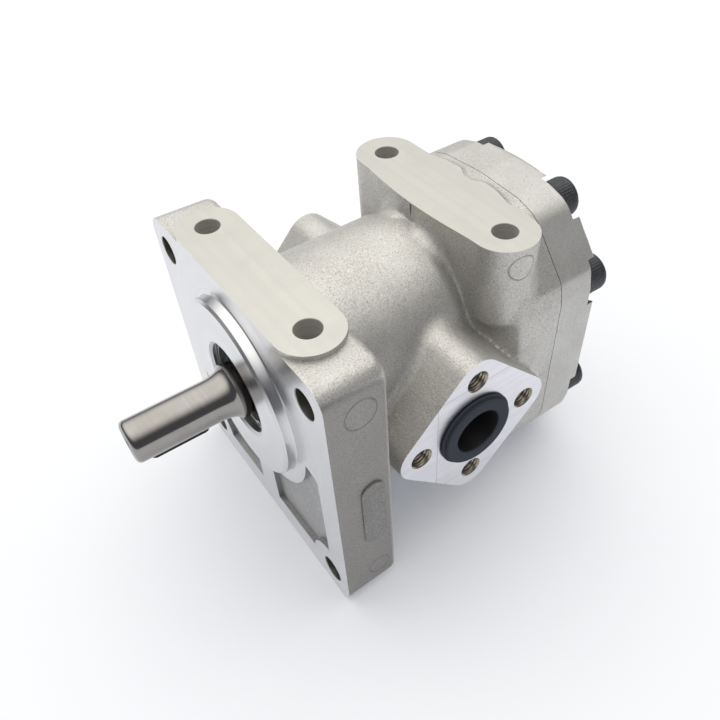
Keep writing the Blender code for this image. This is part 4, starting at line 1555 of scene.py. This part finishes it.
@dataclass
class DriveShaft:
    """The drive gear, cut in one with its shaft, and the parallel key."""

    radius: float = 9.525
    end_y: float = -53.9
    journal: float = 12.5
    journal_end: float = 125.2
    gear_width: float = 34.2
    key_y: Pair = (-47.6, -21.0)
    key_w: float = 4.8
    key_seat: float = 7.2
    key_turn: float = 6.0

    def profile(self) -> list[Pair]:
        """The shaft's outline (radius, y), with a round lead at the end and a cove up to the journal."""
        r, end = self.radius, self.end_y
        lead = arc((r - 2.0, end + 2.0), 2.0, -90, 0, 8)
        lead[:, 1] = end + 2.4 + (lead[:, 1] - end - 2.0) * 1.2
        share = np.linspace(0, 0.985, 12)
        sweep = np.stack([r + 3.0 * (1 - np.sqrt(1 - share**2)), -17.0 + 9.3 * share], axis=1)
        points = [(0.0, end)] + [tuple(point) for point in lead] + [tuple(point) for point in sweep]
        wide, last = self.journal, self.journal_end
        return points + [(wide, -7.4), (wide, last - 1), (wide - 1, last), (0.0, last)]

    def gear(self) -> Shell:
        """The twelve teeth, as an outline carried along y between the side plates."""
        half = self.gear_width / 2
        return prism(gear_outline(-math.pi / 2), Axis.Y, SIZES.port_y - half, SIZES.port_y + half)

    def slot_outline(self, grow: float) -> Array:
        """The key's plan in (x, y): a bar with round ends.

        Args:
            grow: how far the plan is grown on every side, in mm.

        Returns:
            The outline's points in order.
        """
        half = self.key_w / 2 + grow
        front = arc((0, self.key_y[0] + half - grow), half, 180, 360, 12)
        rear = arc((0, self.key_y[1] - half + grow), half, 0, 180, 12)
        return np.vstack([front, rear])

    def dress(self) -> None:
        """Builds the shaft and key and hands them to the frame."""
        self.shaft()
        self.key()

    def shaft(self) -> None:
        """The shaft with its gear, keyway and centre hole."""
        points, end = self.profile(), self.end_y
        slots = [1] + [0] * (len(points) - 2)
        whole = turned(points, Axis.Y, sides=128, slots=slots)
        shaft = whole.made("drive_shaft_and_gear", [GROUND_STEEL, SHAFT_END])
        machined(shaft, [self.gear().made("teeth", [GROUND_STEEL])], union=True)
        drill = [(0, end - 1), (3.3, end - 1), (2.6, end), (1.3, end + 2.4), (1.3, end + 5), (0, end + 5.7)]
        centre_drill = turned(drill, Axis.Y, sides=32)
        keyway = prism(self.slot_outline(0.25), Axis.Z, -20.0, -self.key_seat).swung(self.key_turn)
        machined(shaft, [centre_drill.made("centre_drill", [SHAFT_END]), keyway.made("keyway", [SHAFT_END])])
        fitted(shaft, "drive_shaft", "ground_steel", "drive_gear_shaft")

    def key(self) -> None:
        """The parallel key: a bar with round ends and a small bevel all round."""
        bevel, foot = 0.3, -self.key_seat - SIZES.gap
        low = foot - self.key_w
        plan, inner = self.slot_outline(0.0), self.slot_outline(-bevel)
        stack = ((inner, low), (plan, low + bevel), (plan, -self.key_seat - 0.5), (inner, foot))
        rows = [Axis.Z.place(outline[:, 0], outline[:, 1], z) for outline, z in stack]
        middle = (self.key_y[0] + self.key_y[1]) / 2
        whole = lattice(np.array(rows), None, Axis.Z.poles((0.0, middle), low, foot))
        key = whole.swung(self.key_turn).made("parallel_key", [KEY_STEEL])
        fitted(key, "drive_shaft", "key_steel", "shaft_key")


def gear_outline(phase: float) -> Array:
    """Involute teeth about (0, 0): half angle = pitch half angle + inv(20) - inv(acos(base / r)).

    Args:
        phase: the angle of the first tooth, in radians.

    Returns:
        The outline in (x, z).
    """
    teeth, pressure, root, tip, backlash = 12, math.radians(20), 15.6, 22.0, 0.5
    pitch_r = SIZES.centre_distance / 2
    base = pitch_r * math.cos(pressure)
    radii = np.concatenate([[root, root + 0.5], np.linspace(base, tip, 7)])
    slope = np.arccos(np.minimum(base / radii, 1.0))
    half_pitch = math.pi / (2 * teeth) - backlash / (2 * pitch_r)
    flank = half_pitch + math.tan(pressure) - pressure - (np.tan(slope) - slope)
    flank[0] += 0.03
    radius = np.concatenate([radii, radii[::-1]])
    swing = np.concatenate([-flank, flank[::-1]])
    angle = (phase + 2 * math.pi * np.arange(teeth) / teeth)[:, None] + swing
    return np.stack([radius * np.cos(angle), radius * np.sin(angle)], axis=-1).reshape(-1, 2)


@dataclass
class ShaftSeal:
    """The lip seal in the spigot's bore, and its retaining ring."""

    case_y: Pair = (0.9, 9.1)

    def dress(self) -> None:
        """Builds the case, the lip and the ring and hands them to the frame."""
        near, far = self.case_y
        outer = SIZES.seal_bore - SIZES.gap
        case = [(outer - 1.3, near), (outer - 0.4, near + 0.15), (outer, near + 0.6), (outer, far - 0.5)]
        case += [(outer - 0.5, far), (14.0, far), (14.0, far - 1.2)]
        case += [(outer - 1.8, far - 1.2), (outer - 1.6, near + 0.3)]
        piece = turned(case, Axis.Y, sides=128).made("seal_case", [SEAL_STEEL])
        fitted(piece, "housing", "seal_steel", "shaft_seal_case")
        lip = [(outer - 1.9, near + 0.6), (outer - 1.9, far - 1.7), (15.2, far - 1.7), (15.2, far - 3.2)]
        lip += [(14.3, far - 3.9), (13.6, far - 4.4), (12.85, far - 4.6), (13.1, near + 3.1)]
        lip += [(13.9, near + 1.7), (14.6, near + 1.2), (15.6, near + 0.6), (16.6, near + 1.0)]
        lip.append((17.6, near + 0.9))
        piece = turned(lip, Axis.Y, sides=128).made("seal_lip", [SEAL_RUBBER])
        fitted(piece, "housing", "black_rubber", "shaft_seal_lip")
        self.ring()

    def ring(self) -> None:
        """The retaining ring: a sprung band whose two ears carry plier holes."""
        stretches = ((21.7, -62, 242, 120), (16.7, 242, 230, 8), (19.5, 227, -47, 110), (16.7, -50, -62, 8))
        outline = np.vstack([arc((0, 0), *stretch) for stretch in stretches])
        ring = prism(outline, Axis.Y, -2.0, -0.5).made("retaining_ring", [SPRING_STEEL])
        holes = []
        for ear in (236.5, -56.5):
            centre = (18.6 * math.cos(math.radians(ear)), 18.6 * math.sin(math.radians(ear)))
            hole = drilled(centre, 1.1, -3, 1, 1, 24)
            holes.append(hole.made("plier_hole", [SPRING_STEEL]))
        machined(ring, holes)
        fitted(ring, "housing", "spring_steel", "seal_retaining_ring")


@dataclass
class PortPlugs:
    """The rubber transport plugs: cups with a double rim that open outwards."""

    inner_x: float = 54.0
    outer_x: float = 68.5
    mouth_r: float = 11.1
    floor: float = 2.6

    def profile(self, side: float) -> list[Pair]:
        """The plug's outline (radius, x) from the cup's back, out round the rim and into the mouth.

        Args:
            side: 1 for the +X port, -1 for the -X port.

        Returns:
            The profile's points in order.
        """
        face, out, sleeve = SIZES.port_x + SIZES.gap, self.outer_x, SIZES.port_seat_r - SIZES.gap
        root = self.inner_x
        back = [(0, root), (13.6, root), (14.7, root + 0.5), (sleeve, root + 2.2)]
        base = [(sleeve, face), (18.0, face), (18.4, face + 0.35), (18.4, face + 0.8), (18.05, face + 1.15)]
        neck = [(17.0, face + 1.3), (16.75, face + 1.5), (16.8, face + 1.75), (17.15, face + 1.95)]
        rim = [(17.25, face + 2.2), (17.15, out - 0.3), (16.8, out - 0.05), (16.3, out), (12.4, out)]
        floor, wall = root + self.floor, self.mouth_r
        mouth = [(wall + 0.6, out - 0.1), (wall + 0.2, out - 0.5), (wall, out - 1.2)]
        mouth += [(wall - 0.2, floor + 1.6), (wall - 0.8, floor + 0.4), (wall - 2.0, floor), (0, floor)]
        return [(radius, side * x) for radius, x in back + base + neck + rim + mouth]

    def dress(self) -> None:
        """Builds both plugs and hands them to the frame."""
        for side, name in ((1, "right"), (-1, "left")):
            profile = self.profile(side)
            # The mouth's last stretches take the darker rubber, a painted shade inside the cup.
            slots = [0] * (len(profile) - 6) + [1] * 5
            shell = turned(profile, Axis.X, (SIZES.port_y, SIZES.mid_z), 128, slots)
            plug = shell.made(f"{name}_transport_plug", [PLUG_RUBBER, PLUG_SHADED_INSIDE])
            fitted(plug, f"{name}_plug", "plug_rubber", f"{name}_port_plug")


@dataclass
class InnerParts:
    """The CAD nodes that are kept, each given the finish of its metal or rubber."""

    finishes: tuple[tuple[str, Finish], ...] = (
        ("bush", BRONZE),
        ("side_plate", BRONZE),
        ("bearing_block", BLOCK_METAL),
        ("pressure_seal", SEAL_RUBBER),
        ("cover_seal", SEAL_RUBBER),
        ("dowel_pin", GROUND_STEEL),
        ("driven_gear_shaft", GROUND_STEEL),
    )

    def dress(self) -> None:
        """Puts a finish on every CAD node whose name holds one of the keys."""
        for name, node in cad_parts.items():
            for key, finish in self.finishes:
                if key in name:
                    node.data.materials.clear()
                    node.data.materials.append(finish.material())
                    LOG.info("%s: %s", name, finish.name)


# ------------------------------------------------------------------ the studio


@dataclass
class Studio:
    """Pale floor, soft light and the camera."""

    eye: Triple = (209.43, -68.56, 220.86)
    right: Triple = (0.56513, 0.82289, -0.05898)
    down: Triple = (0.58634, -0.45091, -0.67296)
    forward: Triple = (-0.58037, 0.34573, -0.73732)
    lens: float = 36.07
    shift_y: float = 0.05
    ceiling_aim: Triple = (-0.30, 0.10, 0.95)
    ceiling_edge: Pair = (0.25, 0.95)
    ceiling: Colour = (1.0, 0.985, 0.95)
    wall: Colour = (0.082, 0.082, 0.09)
    strength: float = 1.72
    floor_half: float = 3.0
    floor_drop: float = 0.0002
    floor_glow: Colour = (0.82, 0.88, 1.0)

    def camera(self) -> None:
        """The camera, from its axes in the drawing frame."""
        data = bpy.data.cameras.new("camera")
        data.sensor_width = 36.0
        data.lens = self.lens
        data.shift_y = self.shift_y
        data.clip_start = 0.01
        camera = bpy.data.objects.new("camera", data)
        columns = (self.right, tuple(-value for value in self.down), tuple(-value for value in self.forward))
        turn = Matrix(columns).transposed()
        camera.matrix_world = Matrix.Translation(Vector(DATUM.world(np.array(self.eye)))) @ turn.to_4x4()
        bpy.context.scene.collection.objects.link(camera)
        bpy.context.scene.camera = camera

    def floor(self) -> None:
        """A wide pale sheet just under the pump."""
        mesh = bpy.data.meshes.new("floor")
        turns = ((-1, -1, 0), (1, -1, 0), (1, 1, 0), (-1, 1, 0))
        mesh.from_pydata([self.floor_half * Vector(turn) for turn in turns], [], [(0, 1, 2, 3)])
        bench = Bench("pale_floor", Roughness=0.55, Specular_IOR_Level=0.3, Emission_Strength=0.16)
        bench.shader.inputs["Emission Color"].default_value = (*self.floor_glow, 1.0)
        point = bench.place()
        tone = bench.mix(bench.noise(point, 180.0, 2.0), (0.80, 0.815, 0.845), (0.84, 0.85, 0.87))
        mesh.materials.append(bench.finished(Base_Color=tone))
        floor = bpy.data.objects.new("floor", mesh)
        floor.location.z = -self.floor_drop
        bpy.context.scene.collection.objects.link(floor)

    def room(self) -> None:
        """The room's own light: a broad soft ceiling light, and walls that darken towards the horizon."""
        world = bpy.data.worlds.new("room")
        world.use_nodes = True
        tree = Tree(world.node_tree)
        toward = tree.node("ShaderNodeTexCoord", output="Generated")
        aim = tuple(Vector(self.ceiling_aim).normalized())
        height = tree.node("ShaderNodeVectorMath", {"operation": "DOT_PRODUCT"}, {0: toward, 1: aim}, "Value")
        glow = height.step(*self.ceiling_edge)
        colour = tree.mix(glow, self.wall, self.ceiling)
        light = tree.node("ShaderNodeBackground", inputs={"Color": colour, "Strength": self.strength})
        output = tree.tree.nodes.new("ShaderNodeOutputWorld")
        tree.tree.links.new(light.socket, output.inputs["Surface"])
        bpy.context.scene.world = world

    def build(self) -> None:
        """Sets up camera, floor and room."""
        self.camera()
        self.floor()
        self.room()
        bpy.context.scene.view_settings.view_transform = "Standard"


def main() -> None:
    """Builds the studio and every sub-assembly in order, and logs each one as it is done."""
    logging.basicConfig(level=logging.INFO, format="%(message)s")
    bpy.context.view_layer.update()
    Studio().build()
    castings = (BodyCasting(), RearCover(), CoverScrews())
    for part in (*castings, DriveShaft(), ShaftSeal(), PortPlugs(), InnerParts()):
        part.dress()
        LOG.info("%s done", type(part).__name__)
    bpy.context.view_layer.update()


if __name__ == "__main__":
    main()
